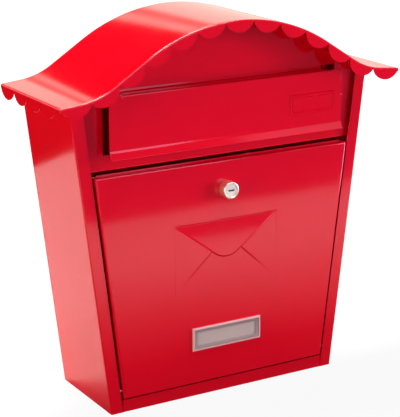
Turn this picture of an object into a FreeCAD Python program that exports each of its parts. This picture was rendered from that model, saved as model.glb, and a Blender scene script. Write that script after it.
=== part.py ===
import FreeCAD, Part
import math
import os
import re
import Sketcher

# Wall mounted post box of folded sheet steel, with an ogee roof.
# Millimetres and degrees. The origin is the bottom of the back face, in the middle.
# +X is to the right of someone facing the box, +Y goes into the wall, +Z is up.
# "Out" is the distance in front of the wall, so that y = -out.

SIZES = {
    # Sheet and folds
    "sheet_gauge": 1.0,
    "fold_radius": 2.0,
    "seat_gap": 0.3,
    # Body: a tapered sleeve, closed at the back
    "body_depth": 115.0,
    "body_bottom_width": 279.0,
    "side_angle": 6.73,
    "flange_width": 14.0,
    "wall_hole_across": 200.0,
    "wall_hole_apart": 220.0,
    "wall_hole_height": 70.0,
    "wall_hole_diameter": 8.0,
    # Floor pan
    "floor_flange_height": 14.0,
    # Roof: crown arc, straight flanks, hollow valleys and nearly flat eaves
    "roof_width": 403.2,
    "roof_height": 410.0,
    "roof_overhang": 28.5,
    "crown_radius": 201.0,
    "flank_angle": 32.5,
    "flank_length": 43.0,
    "valley_radius": 80.0,
    "eave_angle": 5.4,
    # Roof edge: scalloped tabs, folded down
    "front_tab_count": 13,
    "front_tab_drop": 12.8,
    "front_cusp_drop": 1.8,
    "side_tab_count": 4,
    "side_tab_pitch": 33.0,
    "side_tab_drop": 14.0,
    "side_cusp_drop": 3.0,
    "roof_fold_radius": 1.5,
    # Front panel: gable and fascia in one sheet, behind the body's flanges
    "panel_recess": 5.0,
    "panel_flange": 10.0,
    "panel_bottom": 264.0,
    "slot_width": 281.0,
    "slot_bottom": 280.5,
    "slot_height": 65.8,
    # Mail flap
    "flap_width": 280.0,
    "flap_top": 343.1,
    "flap_height": 56.8,
    "flap_standoff": 9.3,
    "lip_height": 7.8,
    "lip_flare": 4.2,
    "flap_bend_radius": 1.6,
    "flap_flange_width": 248.0,
    "flap_relief": 1.0,
    "stop_lip_overlap": 2.5,
    "flap_axis_drop": 3.1,
    "flap_axis_back": 3.7,
    "flap_ear_reach": 5.0,
    # Flap hinge
    "flap_rod_diameter": 3.0,
    "pin_clearance": 0.05,
    "bracket_gauge": 1.5,
    "bracket_side_gap": 2.0,
    "bracket_eye_radius": 2.4,
    "bracket_foot_rise": 4.2,
    "bracket_foot_width": 13.0,
    "bracket_foot_height": 11.0,
    "rod_end": 1.5,
    # Door
    "door_bottom": 15.5,
    "door_height": 243.8,
    "door_side_gap": 2.7,
    "door_proud": 2.5,
    "door_flange": 8.0,
    "door_lip_height": 1.7,
    "door_lip_end_gap": 4.0,
    # Door hinge
    "hinge_rise": 8.5,
    "hinge_back": 5.3,
    "pin_diameter": 3.0,
    "pin_head_diameter": 5.2,
    "pin_head_length": 1.5,
    "pin_end": 3.0,
    "lug_gauge": 2.0,
    "lug_side_gap": 3.5,
    "lug_depth": 13.0,
    "lug_above_pin": 5.0,
    "lug_foot_width": 5.0,
    # Pressed envelope
    "envelope_width": 125.0,
    "envelope_height": 74.5,
    "envelope_bottom": 120.5,
    "flap_point_drop": 46.8,
    "flap_point_radius": 23.0,
    "side_fold_angle": 42.5,
    "press_sink": 0.5,
    "flap_press_rise": 0.9,
    "side_fold_rise": 0.6,
    # Lock
    "lock_height": 228.3,
    "lock_head_diameter": 18.3,
    "lock_head_length": 10.5,
    "lock_head_edge": 0.8,
    "lock_rim_width": 1.5,
    "lock_rim_depth": 0.6,
    "lock_barrel_diameter": 16.0,
    "lock_barrel_length": 16.5,
    "plug_diameter": 12.0,
    "plug_tail": 1.4,
    "keyway_width": 7.0,
    "keyway_height": 1.8,
    "keyway_waist": 0.8,
    "keyway_depth": 14.0,
    "nut_across_flats": 20.0,
    "nut_thickness": 3.0,
    "cam_length": 42.0,
    "cam_width": 14.0,
    "cam_gauge": 2.0,
    "cam_square": 7.0,
    "cam_screw_diameter": 4.0,
    "cam_screw_head_diameter": 9.0,
    "cam_screw_head_height": 2.8,
    "cam_screw_grip": 8.0,
    # Name holder
    "name_width": 84.8,
    "name_height": 25.9,
    "name_bottom": 53.1,
    "name_thickness": 2.4,
    "name_bevel": 1.4,
    "name_rim": 4.0,
    "name_window_bevel": 0.5,
    "pane_gauge": 0.8,
    "pane_back": 0.7,
    "card_gauge": 0.3,
    "card_edge_gap": 0.5,
    "stud_diameter": 2.4,
    "stud_length": 3.0,
}

# Points and edges nearer than this count as one
TOUCH = 1e-3

doc = FreeCAD.newDocument("post_box")
sheet = doc.addObject("Spreadsheet::Sheet", "Spreadsheet")
parts = []


def fill_sheet():
    """Write each driving size into a cell of its own, under its name."""
    for row, (name, value) in enumerate(SIZES.items(), start=1):
        sheet.set(f"A{row}", name)
        sheet.set(f"B{row}", str(value))
        sheet.setAlias(f"B{row}", name)
    doc.recompute()


def formula(text):
    """Point each size named in the text at its cell."""
    return re.sub(r"\b[a-z_]+\b", lambda word: cell(word[0]), text)


def cell(word):
    return f"Spreadsheet.{word}" if word in SIZES else word


def value(text):
    """The number that a formula gives at the present sizes."""
    return float(sheet.evalExpression(formula(str(text))))


def bind(thing, **formulas):
    """Tie properties to formulas; an underscore pair stands for a dot."""
    for name, text in formulas.items():
        thing.setExpression(name.replace("__", "."), formula(str(text)))


def place(thing, across="0", out="0", up="0"):
    bind(thing, Placement__Base__x=across, Placement__Base__y=f"-({out})", Placement__Base__z=up)


def keep(thing, label):
    """Name a finished piece, so that it is written out as a node."""
    thing.Label = label
    parts.append(thing)
    return thing


# Sketches

def plane_of(body, role):
    return [item for item in body.Origin.OriginFeatures if item.Role == role][0]


def new_sketch(body, name, role="XZ_Plane", offset="0"):
    """A sketch on one of the body's own planes, moved along that plane's normal."""
    sketch = body.newObject("Sketcher::SketchObject", name)
    sketch.AttachmentSupport = [(plane_of(body, role), "")]
    sketch.MapMode = "FlatFace"
    bind(sketch, AttachmentOffset__Base__z=offset)
    return sketch


def edge_between(start, end, bend):
    """A straight edge, or an arc that bulges to the right of its run, or to the left if negative."""
    if bend is None:
        return Part.LineSegment(start, end)
    radius = abs(value(bend))
    chord = end - start
    bulge = radius - math.sqrt(max(radius**2 - (chord.Length / 2) ** 2, 0))
    aside = FreeCAD.Vector(chord.y, -chord.x, 0).normalize() * bulge
    middle = (start + end) * 0.5
    if value(bend) > 0:
        return Part.Arc(start, middle + aside, end)
    return Part.Arc(end, middle - aside, start)


def ends_of(sketch, index, start):
    """The numbers of an edge's first and last point, in the order of the run."""
    forwards = sketch.Geometry[index].StartPoint.isEqual(start, TOUCH)
    return (1, 2) if forwards else (2, 1)


def pin_point(sketch, index, point, corner, at):
    """Tie one point of the sketch to the formulas of its place."""
    for kind, text, number in (("DistanceX", corner[0], at.x), ("DistanceY", corner[1], at.y)):
        added = sketch.addConstraint(Sketcher.Constraint(kind, -1, 1, index, point, number))
        sketch.setExpression(f"Constraints[{added}]", formula(str(text)))


def shape_of(*corners):
    """A drawing of a closed outline, for a pad or a pocket."""
    return lambda sketch: outline(sketch, corners)


def outline(sketch, corners):
    """Draw a closed outline. A corner is (across, up), or (across, up, bend) if an arc leads to it."""
    spots = [FreeCAD.Vector(value(corner[0]), value(corner[1]), 0) for corner in corners]
    bends = [corner[2] if len(corner) > 2 else None for corner in corners]
    count = len(corners)
    first = len(sketch.Geometry)
    for i in range(count):
        following = (i + 1) % count
        edge = edge_between(spots[i], spots[following], bends[following])
        sketch.addGeometry(edge, False)
    runs = [ends_of(sketch, first + i, spots[i]) for i in range(count)]
    for i in range(count):
        following = (i + 1) % count
        joint = (first + i, runs[i][1], first + following, runs[following][0])
        sketch.addConstraint(Sketcher.Constraint("Coincident", *joint))
        pin_point(sketch, first + i, runs[i][0], corners[i], spots[i])
        if bends[following] is not None:
            radius = abs(value(bends[following]))
            added = sketch.addConstraint(Sketcher.Constraint("Radius", first + i, radius))
            sketch.setExpression(f"Constraints[{added}]", formula(f"abs({bends[following]})"))
    return sketch


def circle_of(across, up, diameter):
    """A drawing of one full circle, for a pad or a pocket."""
    return lambda sketch: ring(sketch, across, up, diameter)


def ring(sketch, across, up, diameter):
    """Draw a full circle."""
    centre = FreeCAD.Vector(value(across), value(up), 0)
    radius = value(diameter) / 2
    index = sketch.addGeometry(Part.Circle(centre, FreeCAD.Vector(0, 0, 1), radius), False)
    pin_point(sketch, index, 3, (across, up), centre)
    added = sketch.addConstraint(Sketcher.Constraint("Radius", index, radius))
    sketch.setExpression(f"Constraints[{added}]", formula(f"({diameter}) / 2"))
    return sketch


# Solid features

def new_body(name):
    return doc.addObject("PartDesign::Body", f"{name}_body")


def pad(body, name, drawing, start, length, role="XZ_Plane"):
    """Fill a drawn outline from one distance out, towards the front."""
    sketch = new_sketch(body, f"{name}_sketch", role, start)
    drawing(sketch)
    feature = body.newObject("PartDesign::Pad", name)
    feature.Profile = sketch
    bind(feature, Length=length)
    doc.recompute()
    return feature


def pocket(body, name, drawing, start, length, role="XZ_Plane"):
    """Cut a drawn outline from one distance out, towards the front."""
    sketch = new_sketch(body, f"{name}_sketch", role, start)
    drawing(sketch)
    feature = body.newObject("PartDesign::Pocket", name)
    feature.Profile = sketch
    feature.Reversed = True
    bind(feature, Length=length)
    doc.recompute()
    return feature


def edges_where(feature, test):
    """The names of a feature's straight and curved edges that pass a test."""
    return [f"Edge{i}" for i, edge in enumerate(feature.Shape.Edges, start=1) if test(edge)]


def round_edges(body, name, feature, test, radius):
    fillet = body.newObject("PartDesign::Fillet", name)
    fillet.Base = (feature, edges_where(feature, test))
    bind(fillet, Radius=radius)
    doc.recompute()
    return fillet


def bevel_edges(body, name, feature, test, size):
    bevel = body.newObject("PartDesign::Chamfer", name)
    bevel.Base = (feature, edges_where(feature, test))
    bind(bevel, Size=size)
    doc.recompute()
    return bevel


def is_flat_at(edge, number, axis):
    """Whether the whole edge lies at one place along an axis."""
    box = edge.BoundBox
    low, high = {"x": (box.XMin, box.XMax), "y": (box.YMin, box.YMax), "z": (box.ZMin, box.ZMax)}[axis]
    return abs(low - number) < TOUCH and abs(high - number) < TOUCH


def block(name, across, out, up, wide, deep, tall):
    """A box that starts at the given place and reaches back, to the right and up."""
    thing = doc.addObject("Part::Box", name)
    bind(thing, Length=wide, Width=deep, Height=tall)
    place(thing, across, out, up)
    return thing


def bar(name, across, out, up, diameter, length):
    """A round bar along X that starts at the given place."""
    thing = doc.addObject("Part::Cylinder", name)
    thing.Placement = FreeCAD.Placement(FreeCAD.Vector(), FreeCAD.Rotation(FreeCAD.Vector(0, 1, 0), 90))
    bind(thing, Radius=f"({diameter}) / 2", Height=length)
    place(thing, across, out, up)
    return thing


def joined(name, things):
    fused = doc.addObject("Part::MultiFuse", name)
    fused.Shapes = things
    fused.Refine = True
    return fused


def cut_from(name, base, tool):
    difference = doc.addObject("Part::Cut", name)
    difference.Base = base
    difference.Tool = tool
    return difference


# Shared outlines

def half_width(up, inset="0"):
    """Half the body's outside width at a height, less an inset measured along X."""
    return f"(body_bottom_width / 2 + ({up}) * tan(side_angle) - ({inset}))"


WALL = "(sheet_gauge / cos(side_angle))"
CROWN_CENTRE = "(roof_height - crown_radius)"
FLANK_ACROSS = "(flank_length * cos(flank_angle))"
FLANK_FALL = "(flank_length * sin(flank_angle))"
VALLEY_ACROSS = f"((crown_radius + valley_radius) * sin(flank_angle) + {FLANK_ACROSS})"
VALLEY_UP = f"({CROWN_CENTRE} + (crown_radius + valley_radius) * cos(flank_angle) - {FLANK_FALL})"
DOOR_OUT = "(body_depth + door_proud)"
DOOR_TOP = "(door_bottom + door_height)"
PANEL_OUT = "(body_depth - panel_recess)"
FLAP_OUT = "(body_depth + flap_standoff)"
SLOT_TOP = "(slot_bottom + slot_height)"
ROOF_OUT = "(body_depth + roof_overhang)"


def roof_joints(inset):
    """Right half of the roof line, as the ends of its crown, flank and valley, below the top face."""
    crown = f"(crown_radius - {inset})"
    valley = f"(valley_radius + {inset})"
    top = (f"{crown} * sin(flank_angle)", f"{CROWN_CENTRE} + {crown} * cos(flank_angle)")
    foot = (f"{top[0]} + {FLANK_ACROSS}", f"{top[1]} - {FLANK_FALL}")
    eave = (f"{VALLEY_ACROSS} - {valley} * sin(eave_angle)", f"{VALLEY_UP} - {valley} * cos(eave_angle)")
    edge = "roof_width / 2"
    end = (edge, f"{eave[1]} - ({edge} - ({eave[0]})) * tan(eave_angle)")
    return top, foot, eave, end, crown, valley


def roof_line(inset="0"):
    """The whole roof line from the right eave to the left one, with its arcs."""
    top, foot, eave, end, crown, valley = roof_joints(inset)
    left = [(f"-({across})", up) for across, up in (top, foot, eave, end)]
    return [
        end,
        eave,
        (*foot, f"-{valley}"),
        top,
        (*left[0], crown),
        left[1],
        (*left[2], f"-{valley}"),
        left[3],
    ]


def back_along(line):
    """The same line run the other way, with its arcs bulging to the same side of space."""
    bends = [corner[2] if len(corner) > 2 else None for corner in line]
    turned = []
    for i in reversed(range(len(line))):
        bend = bends[i + 1] if i + 1 < len(line) else None
        corner = line[i][:2]
        turned.append(corner if bend is None else (*corner, f"-({bend})"))
    return turned


def under_roof(inset, bottom):
    """The area below the roof line, down to a level."""
    left, right = ("-roof_width / 2", bottom), ("roof_width / 2", bottom)
    return [left, right] + roof_line(inset)


def beside(side, inset, low, high):
    """The area outside one side of the body, which trims a piece to the taper."""
    far = f"{side} * roof_width"
    inner_low = f"{side} * {half_width(low, inset)}"
    inner_high = f"{side} * {half_width(high, inset)}"
    corners = [(inner_low, low), (far, low), (far, high), (inner_high, high)]
    return corners if side > 0 else corners[::-1]


def rectangle(left, right, low, high):
    return [(left, low), (right, low), (right, high), (left, high)]


def tapered(low, high, inset):
    """The area between the two sides, from one height to another."""
    near, far = half_width(low, inset), half_width(high, inset)
    return [(f"-{near}", low), (near, low), (far, high), (f"-{far}", high)]


def trim_sides(body, inset, low, start, length):
    for side, name in ((1, "right"), (-1, "left")):
        region = shape_of(*beside(side, inset, low, "roof_height + flange_width"))
        feature = pocket(body, f"trim_{name}", region, start, length)
    return feature


# Body, floor and front panel

def is_upright(edge):
    """The long corners of the body, at the back and along the front."""
    box = edge.BoundBox
    return box.ZLength > value("body_depth") and box.YLength < TOUCH


def make_body_shell():
    """Back and sides in one folded sheet, with a narrow front flange down each side."""
    body = new_body("body_shell")
    pad(body, "blank", shape_of(*under_roof("sheet_gauge", "0")), "0", "body_depth")
    trimmed = trim_sides(body, "0", "-flange_width", "-sheet_gauge", "body_depth + 2 * sheet_gauge")
    round_edges(body, "folds", trimmed, is_upright, "fold_radius")
    inside = shape_of(*tapered("-flange_width", "roof_height", WALL))
    pocket(body, "inside", inside, "sheet_gauge", "body_depth - 2 * sheet_gauge")
    window = shape_of(*tapered("-flange_width", "roof_height", "flange_width"))
    pocket(body, "window", window, "body_depth / 2", "body_depth")
    pocket(body, "wall_holes", draw_wall_holes, "-sheet_gauge", "3 * sheet_gauge")
    keep(body, "body_shell")


def draw_wall_holes(sketch):
    for side in (-1, 1):
        for up in ("wall_hole_height", "wall_hole_height + wall_hole_apart"):
            ring(sketch, f"{side} * wall_hole_across / 2", up, "wall_hole_diameter")


def make_floor_pan():
    """A shallow pan between the sides. Its front flange lies level with the body's flanges."""
    body = new_body("floor_pan")
    blank = shape_of(*tapered("0", "floor_flange_height", WALL))
    trough = pad(body, "trough", blank, "sheet_gauge", "body_depth - 2 * sheet_gauge")
    round_edges(body, "corners", trough, is_trough_corner, "fold_radius")
    hollow = shape_of(*tapered("sheet_gauge", "2 * floor_flange_height", f"2 * {WALL}"))
    pocket(body, "hollow", hollow, "2 * sheet_gauge", "body_depth")
    half = half_width("0", "flange_width + seat_gap")
    flange = shape_of(*rectangle(f"-{half}", half, "0", "floor_flange_height"))
    pad(body, "front_flange", flange, "body_depth - sheet_gauge", "sheet_gauge")
    keep(body, "floor_pan")


def is_trough_corner(edge):
    """The upright corners at the back of the pan."""
    box = edge.BoundBox
    upright = box.ZLength > value("floor_flange_height") - TOUCH
    return upright and is_flat_at(edge, -value("sheet_gauge"), "y")


def make_front_panel():
    """Gable and fascia in one sheet, with flanges turned back under the roof, at the sides and below."""
    body = new_body("front_panel")
    back = f"{PANEL_OUT} - panel_flange"
    plate = shape_of(*under_roof("sheet_gauge", "panel_bottom"))
    pad(body, "plate", plate, f"{PANEL_OUT} - sheet_gauge", "sheet_gauge")
    band = roof_line("sheet_gauge") + back_along(roof_line("2 * sheet_gauge"))
    pad(body, "roof_flange", shape_of(*band), back, "panel_flange")
    for side, name in ((1, "right"), (-1, "left")):
        pad(body, f"{name}_flange", shape_of(*side_strip(side)), back, "panel_flange")
    half = half_width("panel_bottom", WALL)
    strip = shape_of(*rectangle(f"-{half}", half, "panel_bottom", "panel_bottom + sheet_gauge"))
    pad(body, "bottom_flange", strip, back, "panel_flange")
    trim_sides(body, WALL, "panel_bottom - flange_width", f"{back} - sheet_gauge", "2 * panel_flange")
    half = "slot_width / 2"
    slot = shape_of(*rectangle(f"-{half}", half, "slot_bottom", SLOT_TOP))
    pocket(body, "slot", slot, f"{PANEL_OUT} - 2 * sheet_gauge", "3 * sheet_gauge")
    keep(body, "front_panel")


def side_strip(side):
    """The edge of the front panel's side flange, which stops below the eaves."""
    low, high = "panel_bottom", f"({roof_joints('2 * sheet_gauge')[2][1]} - flange_width)"
    outer, inner = WALL, f"2 * {WALL}"
    corners = [
        (f"{side} * {half_width(low, inner)}", low),
        (f"{side} * {half_width(low, outer)}", low),
        (f"{side} * {half_width(high, outer)}", high),
        (f"{side} * {half_width(high, inner)}", high),
    ]
    return corners if side > 0 else corners[::-1]


# Roof

class RoofLine:
    """The roof's top face as a path from the left eave to the right one, for placing the tabs."""

    def __init__(self):
        top, foot, eave, end, crown, valley = roof_joints("0")
        self.half = [self.at(corner) for corner in (top, foot, eave, end)]
        self.crown_centre = FreeCAD.Vector(0, 0, value(CROWN_CENTRE))
        self.valley_centre = FreeCAD.Vector(value(VALLEY_ACROSS), 0, value(VALLEY_UP))
        self.crown_run = math.radians(value("flank_angle")) * value(crown)
        self.flank_run = value("flank_length")
        self.valley_run = math.radians(value("flank_angle - eave_angle")) * value(valley)
        self.eave_run = (self.half[3] - self.half[2]).Length
        self.half_length = self.crown_run + self.flank_run + self.valley_run + self.eave_run

    @staticmethod
    def at(corner):
        return FreeCAD.Vector(value(corner[0]), 0, value(corner[1]))

    def point(self, run, drop):
        """The point at a distance from the crown along the line, and a drop square to it."""
        far = abs(run)
        if far <= self.crown_run:
            slope = far / value("crown_radius")
            start = self.crown_centre + self.down(slope) * -value("crown_radius")
        elif far <= self.crown_run + self.flank_run:
            slope = math.radians(value("flank_angle"))
            start = self.half[0] + self.along(slope) * (far - self.crown_run)
        elif far <= self.half_length - self.eave_run:
            past = far - self.crown_run - self.flank_run
            slope = math.radians(value("flank_angle")) - past / value("valley_radius")
            start = self.valley_centre + self.down(slope) * value("valley_radius")
        else:
            slope = math.radians(value("eave_angle"))
            start = self.half[3] - self.along(slope) * (self.half_length - far)
        spot = start + self.down(slope) * drop
        return FreeCAD.Vector(math.copysign(spot.x, run), 0, spot.z)

    @staticmethod
    def along(slope):
        return FreeCAD.Vector(math.cos(slope), 0, -math.sin(slope))

    @staticmethod
    def down(slope):
        return FreeCAD.Vector(-math.sin(slope), 0, -math.cos(slope))


def solid_of(edges, push):
    """A flat solid between closed edges, pushed along a vector."""
    wire = Part.Wire(Part.__sortEdges__(edges))
    return Part.Face(wire).extrude(push)


def line_edges(corners):
    """The edges of a roof line, as arcs and straights in the XZ plane at y = 0."""
    edges = []
    for first, second in zip(corners, corners[1:]):
        bend = second[2] if len(second) > 2 else None
        ends = [FreeCAD.Vector(value(corner[0]), value(corner[1]), 0) for corner in (first, second)]
        edges.append(edge_between(*ends, bend).toShape())
    upright = FreeCAD.Placement(FreeCAD.Vector(), FreeCAD.Rotation(FreeCAD.Vector(1, 0, 0), 90))
    for edge in edges:
        edge.Placement = upright
    return edges


def scallops(cusps, bottoms):
    """One arc for each tab, from cusp to cusp through its lowest point."""
    return [Part.Arc(cusps[i], bottoms[i], cusps[i + 1]).toShape() for i in range(len(bottoms))]


def straight(start, end):
    return Part.LineSegment(start, end).toShape()


def roof_skin():
    """The bent sheet itself, from the wall to the front edge."""
    line, below = roof_line(), roof_line("sheet_gauge")
    upper, lower = line_edges(line), line_edges(below)
    ends = [(RoofLine.at(line[i]), RoofLine.at(below[i])) for i in (0, -1)]
    closing = [straight(*pair) for pair in ends]
    return solid_of(upper + lower + closing, FreeCAD.Vector(0, -value(ROOF_OUT), 0))


def front_tabs():
    """The front edge of the roof, folded down and scalloped all along the curve."""
    path = RoofLine()
    count = int(value("front_tab_count"))
    pitch = 2 * path.half_length / count
    cusp_drop, tab_drop = value("front_cusp_drop"), value("front_tab_drop")
    cusps = [path.point(i * pitch - path.half_length, cusp_drop) for i in range(count + 1)]
    bottoms = [path.point((i + 0.5) * pitch - path.half_length, tab_drop) for i in range(count)]
    left_end, right_end = path.point(-path.half_length, 0), path.point(path.half_length, 0)
    cusps[0].x, cusps[-1].x = left_end.x, right_end.x
    edges = line_edges(roof_line()) + scallops(cusps, bottoms)
    edges += [straight(left_end, cusps[0]), straight(right_end, cusps[-1])]
    lip = solid_of(edges, FreeCAD.Vector(0, -value("sheet_gauge"), 0))
    lip.translate(FreeCAD.Vector(0, value("sheet_gauge") - value(ROOF_OUT), 0))
    return lip


def side_tabs(side):
    """One eave's edge, folded down and scalloped, with a plain stretch at the front corner."""
    end = RoofLine().half[3]
    across, up = side * end.x, end.z
    count, pitch = int(value("side_tab_count")), value("side_tab_pitch")
    cusp_up, bottom_up = up - value("side_cusp_drop"), up - value("side_tab_drop")
    cusps = [FreeCAD.Vector(across, -i * pitch, cusp_up) for i in range(count + 1)]
    bottoms = [FreeCAD.Vector(across, -(i + 0.5) * pitch, bottom_up) for i in range(count)]
    front = -value(ROOF_OUT)
    corners = [
        cusps[0],
        FreeCAD.Vector(across, 0, up),
        FreeCAD.Vector(across, front, up),
        FreeCAD.Vector(across, front, cusp_up),
        cusps[-1],
    ]
    edges = [straight(*pair) for pair in zip(corners, corners[1:])] + scallops(cusps, bottoms)
    return solid_of(edges, FreeCAD.Vector(-side * value("sheet_gauge"), 0, 0))


def is_roof_fold(edge):
    """The outer edges of the folds along the front and the eaves."""
    box = edge.BoundBox
    end = RoofLine().half[3]
    if box.ZMin < end.z - TOUCH or is_scallop(edge):
        return False
    along_eave = abs(abs(box.Center.x) - end.x) < TOUCH and box.YLength > value("body_depth")
    across_front = is_flat_at(edge, -value(ROOF_OUT), "y") and box.XLength > value("sheet_gauge")
    return along_eave or across_front


def is_scallop(edge):
    return isinstance(edge.Curve, Part.Circle) and edge.Curve.Radius < value("valley_radius") / 2


def make_roof():
    """The ogee roof: one bent sheet whose front and eaves are folded down in scalloped tabs."""
    sheet_metal = roof_skin().fuse([front_tabs(), side_tabs(1), side_tabs(-1)]).removeSplitter()
    folds = [edge for edge in sheet_metal.Edges if is_roof_fold(edge)]
    roof = doc.addObject("Part::Feature", "roof_sheet")
    roof.Shape = sheet_metal.makeFillet(value("roof_fold_radius"), folds)
    roof.Placement = FreeCAD.Placement()
    keep(roof, "roof")


# Mail flap and its hinge

FLAP_AXIS_OUT = f"({FLAP_OUT} - flap_axis_back)"
FLAP_AXIS_UP = "(flap_top - flap_axis_drop)"
FLAP_BEND_UP = "(flap_top - flap_height)"
PANEL_BACK = f"({PANEL_OUT} - sheet_gauge)"
RUNNING_ROOM = "2 * pin_clearance"


def seen_from_side(*corners):
    """A drawing in the plane of the sides, from corners given as (out, up)."""
    return shape_of(*[(f"-({corner[0]})", *corner[1:]) for corner in corners])


LIP_ANGLE = "atan(lip_flare / lip_height)"
FLAP_INNER = f"({FLAP_OUT} - sheet_gauge)"
FLAP_REAR = f"({PANEL_BACK} - seat_gap - sheet_gauge)"
LIP_BACK_UP = f"({FLAP_BEND_UP} - sheet_gauge * tan({LIP_ANGLE} / 2))"


def make_mail_flap():
    """Flat flap with a flared finger lip and a top flange that hooks in behind the front panel."""
    body = new_body("mail_flap")
    plate = seen_from_side(
        (FLAP_OUT, "flap_top"),
        (FLAP_OUT, FLAP_BEND_UP),
        (f"{FLAP_OUT} + lip_flare", f"{FLAP_BEND_UP} - lip_height"),
        (f"{FLAP_OUT} + lip_flare - sheet_gauge / cos({LIP_ANGLE})", f"{FLAP_BEND_UP} - lip_height"),
        (FLAP_INNER, LIP_BACK_UP),
        (FLAP_INNER, "flap_top"),
    )
    pad(body, "plate", plate, "-flap_width / 2", "flap_width", "YZ_Plane")
    flange = seen_from_side(
        (FLAP_REAR, "flap_top - sheet_gauge"),
        (FLAP_OUT, "flap_top - sheet_gauge"),
        (FLAP_OUT, "flap_top"),
        (f"{FLAP_REAR} + sheet_gauge", "flap_top"),
        (f"{FLAP_REAR} + sheet_gauge", f"{SLOT_TOP} + stop_lip_overlap"),
        (FLAP_REAR, f"{SLOT_TOP} + stop_lip_overlap"),
    )
    pad(body, "top_flange", flange, "-flap_flange_width / 2", "flap_flange_width", "YZ_Plane")
    ear = seen_from_side(
        (f"{FLAP_AXIS_OUT} - flap_ear_reach", f"{FLAP_AXIS_UP} - flap_ear_reach"),
        (FLAP_INNER, f"{FLAP_AXIS_UP} - flap_ear_reach"),
        (FLAP_INNER, "flap_top - sheet_gauge"),
        (f"{FLAP_AXIS_OUT} - flap_ear_reach", "flap_top - sheet_gauge"),
    )
    starts = {"left": "-flap_flange_width / 2", "right": "flap_flange_width / 2 - sheet_gauge"}
    for name, start in starts.items():
        pad(body, f"{name}_ear", ear, start, "sheet_gauge", "YZ_Plane")
    rod_hole = circle_of(f"-{FLAP_AXIS_OUT}", FLAP_AXIS_UP, f"flap_rod_diameter + {RUNNING_ROOM}")
    pocket(body, "rod_holes", rod_hole, "-flap_width / 2", "flap_width", "YZ_Plane")
    notched = pocket(body, "reliefs", draw_reliefs, f"{FLAP_INNER} - sheet_gauge", "3 * sheet_gauge")
    bent = round_edges(body, "outer_bends", notched, is_outer_bend, "flap_bend_radius")
    round_edges(body, "inner_bends", bent, is_inner_bend, "flap_bend_radius - sheet_gauge")
    keep(body, "mail_flap")


def draw_reliefs(sketch):
    """A notch beside each end of the top bend, so that the sheet can bend without tearing."""
    near, far = "flap_flange_width / 2", "(flap_flange_width / 2 + flap_relief)"
    low, high = "(flap_top - flap_bend_radius - flap_relief)", "(flap_top + sheet_gauge)"
    outline(sketch, rectangle(near, far, low, high))
    outline(sketch, rectangle(f"-{far}", f"-{near}", low, high))


def is_bend(edge, out, up):
    """Whether an edge runs across the flap at a place that is given as out and up."""
    across = edge.BoundBox.XLength > value("flap_flange_width / 2")
    return across and is_flat_at(edge, -value(out), "y") and is_flat_at(edge, value(up), "z")


def is_outer_bend(edge):
    bends = [(FLAP_OUT, "flap_top"), (FLAP_REAR, "flap_top - sheet_gauge"), (FLAP_INNER, LIP_BACK_UP)]
    return any(is_bend(edge, *bend) for bend in bends)


def is_inner_bend(edge):
    bends = [
        (FLAP_INNER, "flap_top - sheet_gauge"),
        (f"({FLAP_REAR} + sheet_gauge)", "flap_top"),
        (FLAP_OUT, FLAP_BEND_UP),
    ]
    return any(is_bend(edge, *bend) for bend in bends)


BRACKET_IN = "(flap_flange_width / 2 + bracket_side_gap)"


def make_flap_rod():
    half = f"({BRACKET_IN} + bracket_gauge + rod_end)"
    rod = bar("rod", f"-{half}", FLAP_AXIS_OUT, FLAP_AXIS_UP, "flap_rod_diameter", f"2 * {half}")
    keep(rod, "flap_rod")


def make_flap_bracket(side, name):
    """Angle bracket: a foot welded behind the front panel and an eye that reaches through the slot."""
    body = new_body(f"flap_bracket_{name}")
    back = f"({PANEL_BACK} - bracket_gauge)"
    top = f"{SLOT_TOP} + bracket_foot_rise + bracket_foot_height"
    radius = "bracket_eye_radius"
    arm = seen_from_side(
        (FLAP_AXIS_OUT, f"{FLAP_AXIS_UP} - {radius}", radius),
        (back, f"{FLAP_AXIS_UP} - {radius}"),
        (back, top),
        (PANEL_BACK, top),
        (PANEL_BACK, f"{FLAP_AXIS_UP} + {radius}"),
        (FLAP_AXIS_OUT, f"{FLAP_AXIS_UP} + {radius}"),
        (f"{FLAP_AXIS_OUT} + {radius}", FLAP_AXIS_UP, radius),
    )
    start = BRACKET_IN if side > 0 else f"-{BRACKET_IN} - bracket_gauge"
    pad(body, "arm", arm, start, "bracket_gauge", "YZ_Plane")
    edges = [f"{side} * ({BRACKET_IN} + bracket_gauge - bracket_foot_width)", f"{side} * {BRACKET_IN}"]
    left, right = edges if side > 0 else edges[::-1]
    foot = shape_of(*rectangle(left, right, f"{SLOT_TOP} + bracket_foot_rise", top))
    pad(body, "foot", foot, back, "bracket_gauge")
    eye = circle_of(f"-{FLAP_AXIS_OUT}", FLAP_AXIS_UP, "flap_rod_diameter")
    pocket(body, "eye", eye, f"{start} - bracket_gauge", "3 * bracket_gauge", "YZ_Plane")
    keep(body, f"flap_bracket_{name}")


# Door and its hinge

DOOR_INSET = "(flange_width + door_side_gap)"
DOOR_BACK = f"({DOOR_OUT} - door_flange)"
DOOR_PLATE_BACK = f"({DOOR_OUT} - sheet_gauge)"
HINGE_OUT = f"({DOOR_OUT} - hinge_back)"
HINGE_UP = "(door_bottom + hinge_rise)"
NAME_MIDDLE = "(name_bottom + name_height / 2)"
ENVELOPE_TOP = "(envelope_bottom + envelope_height)"


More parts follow.
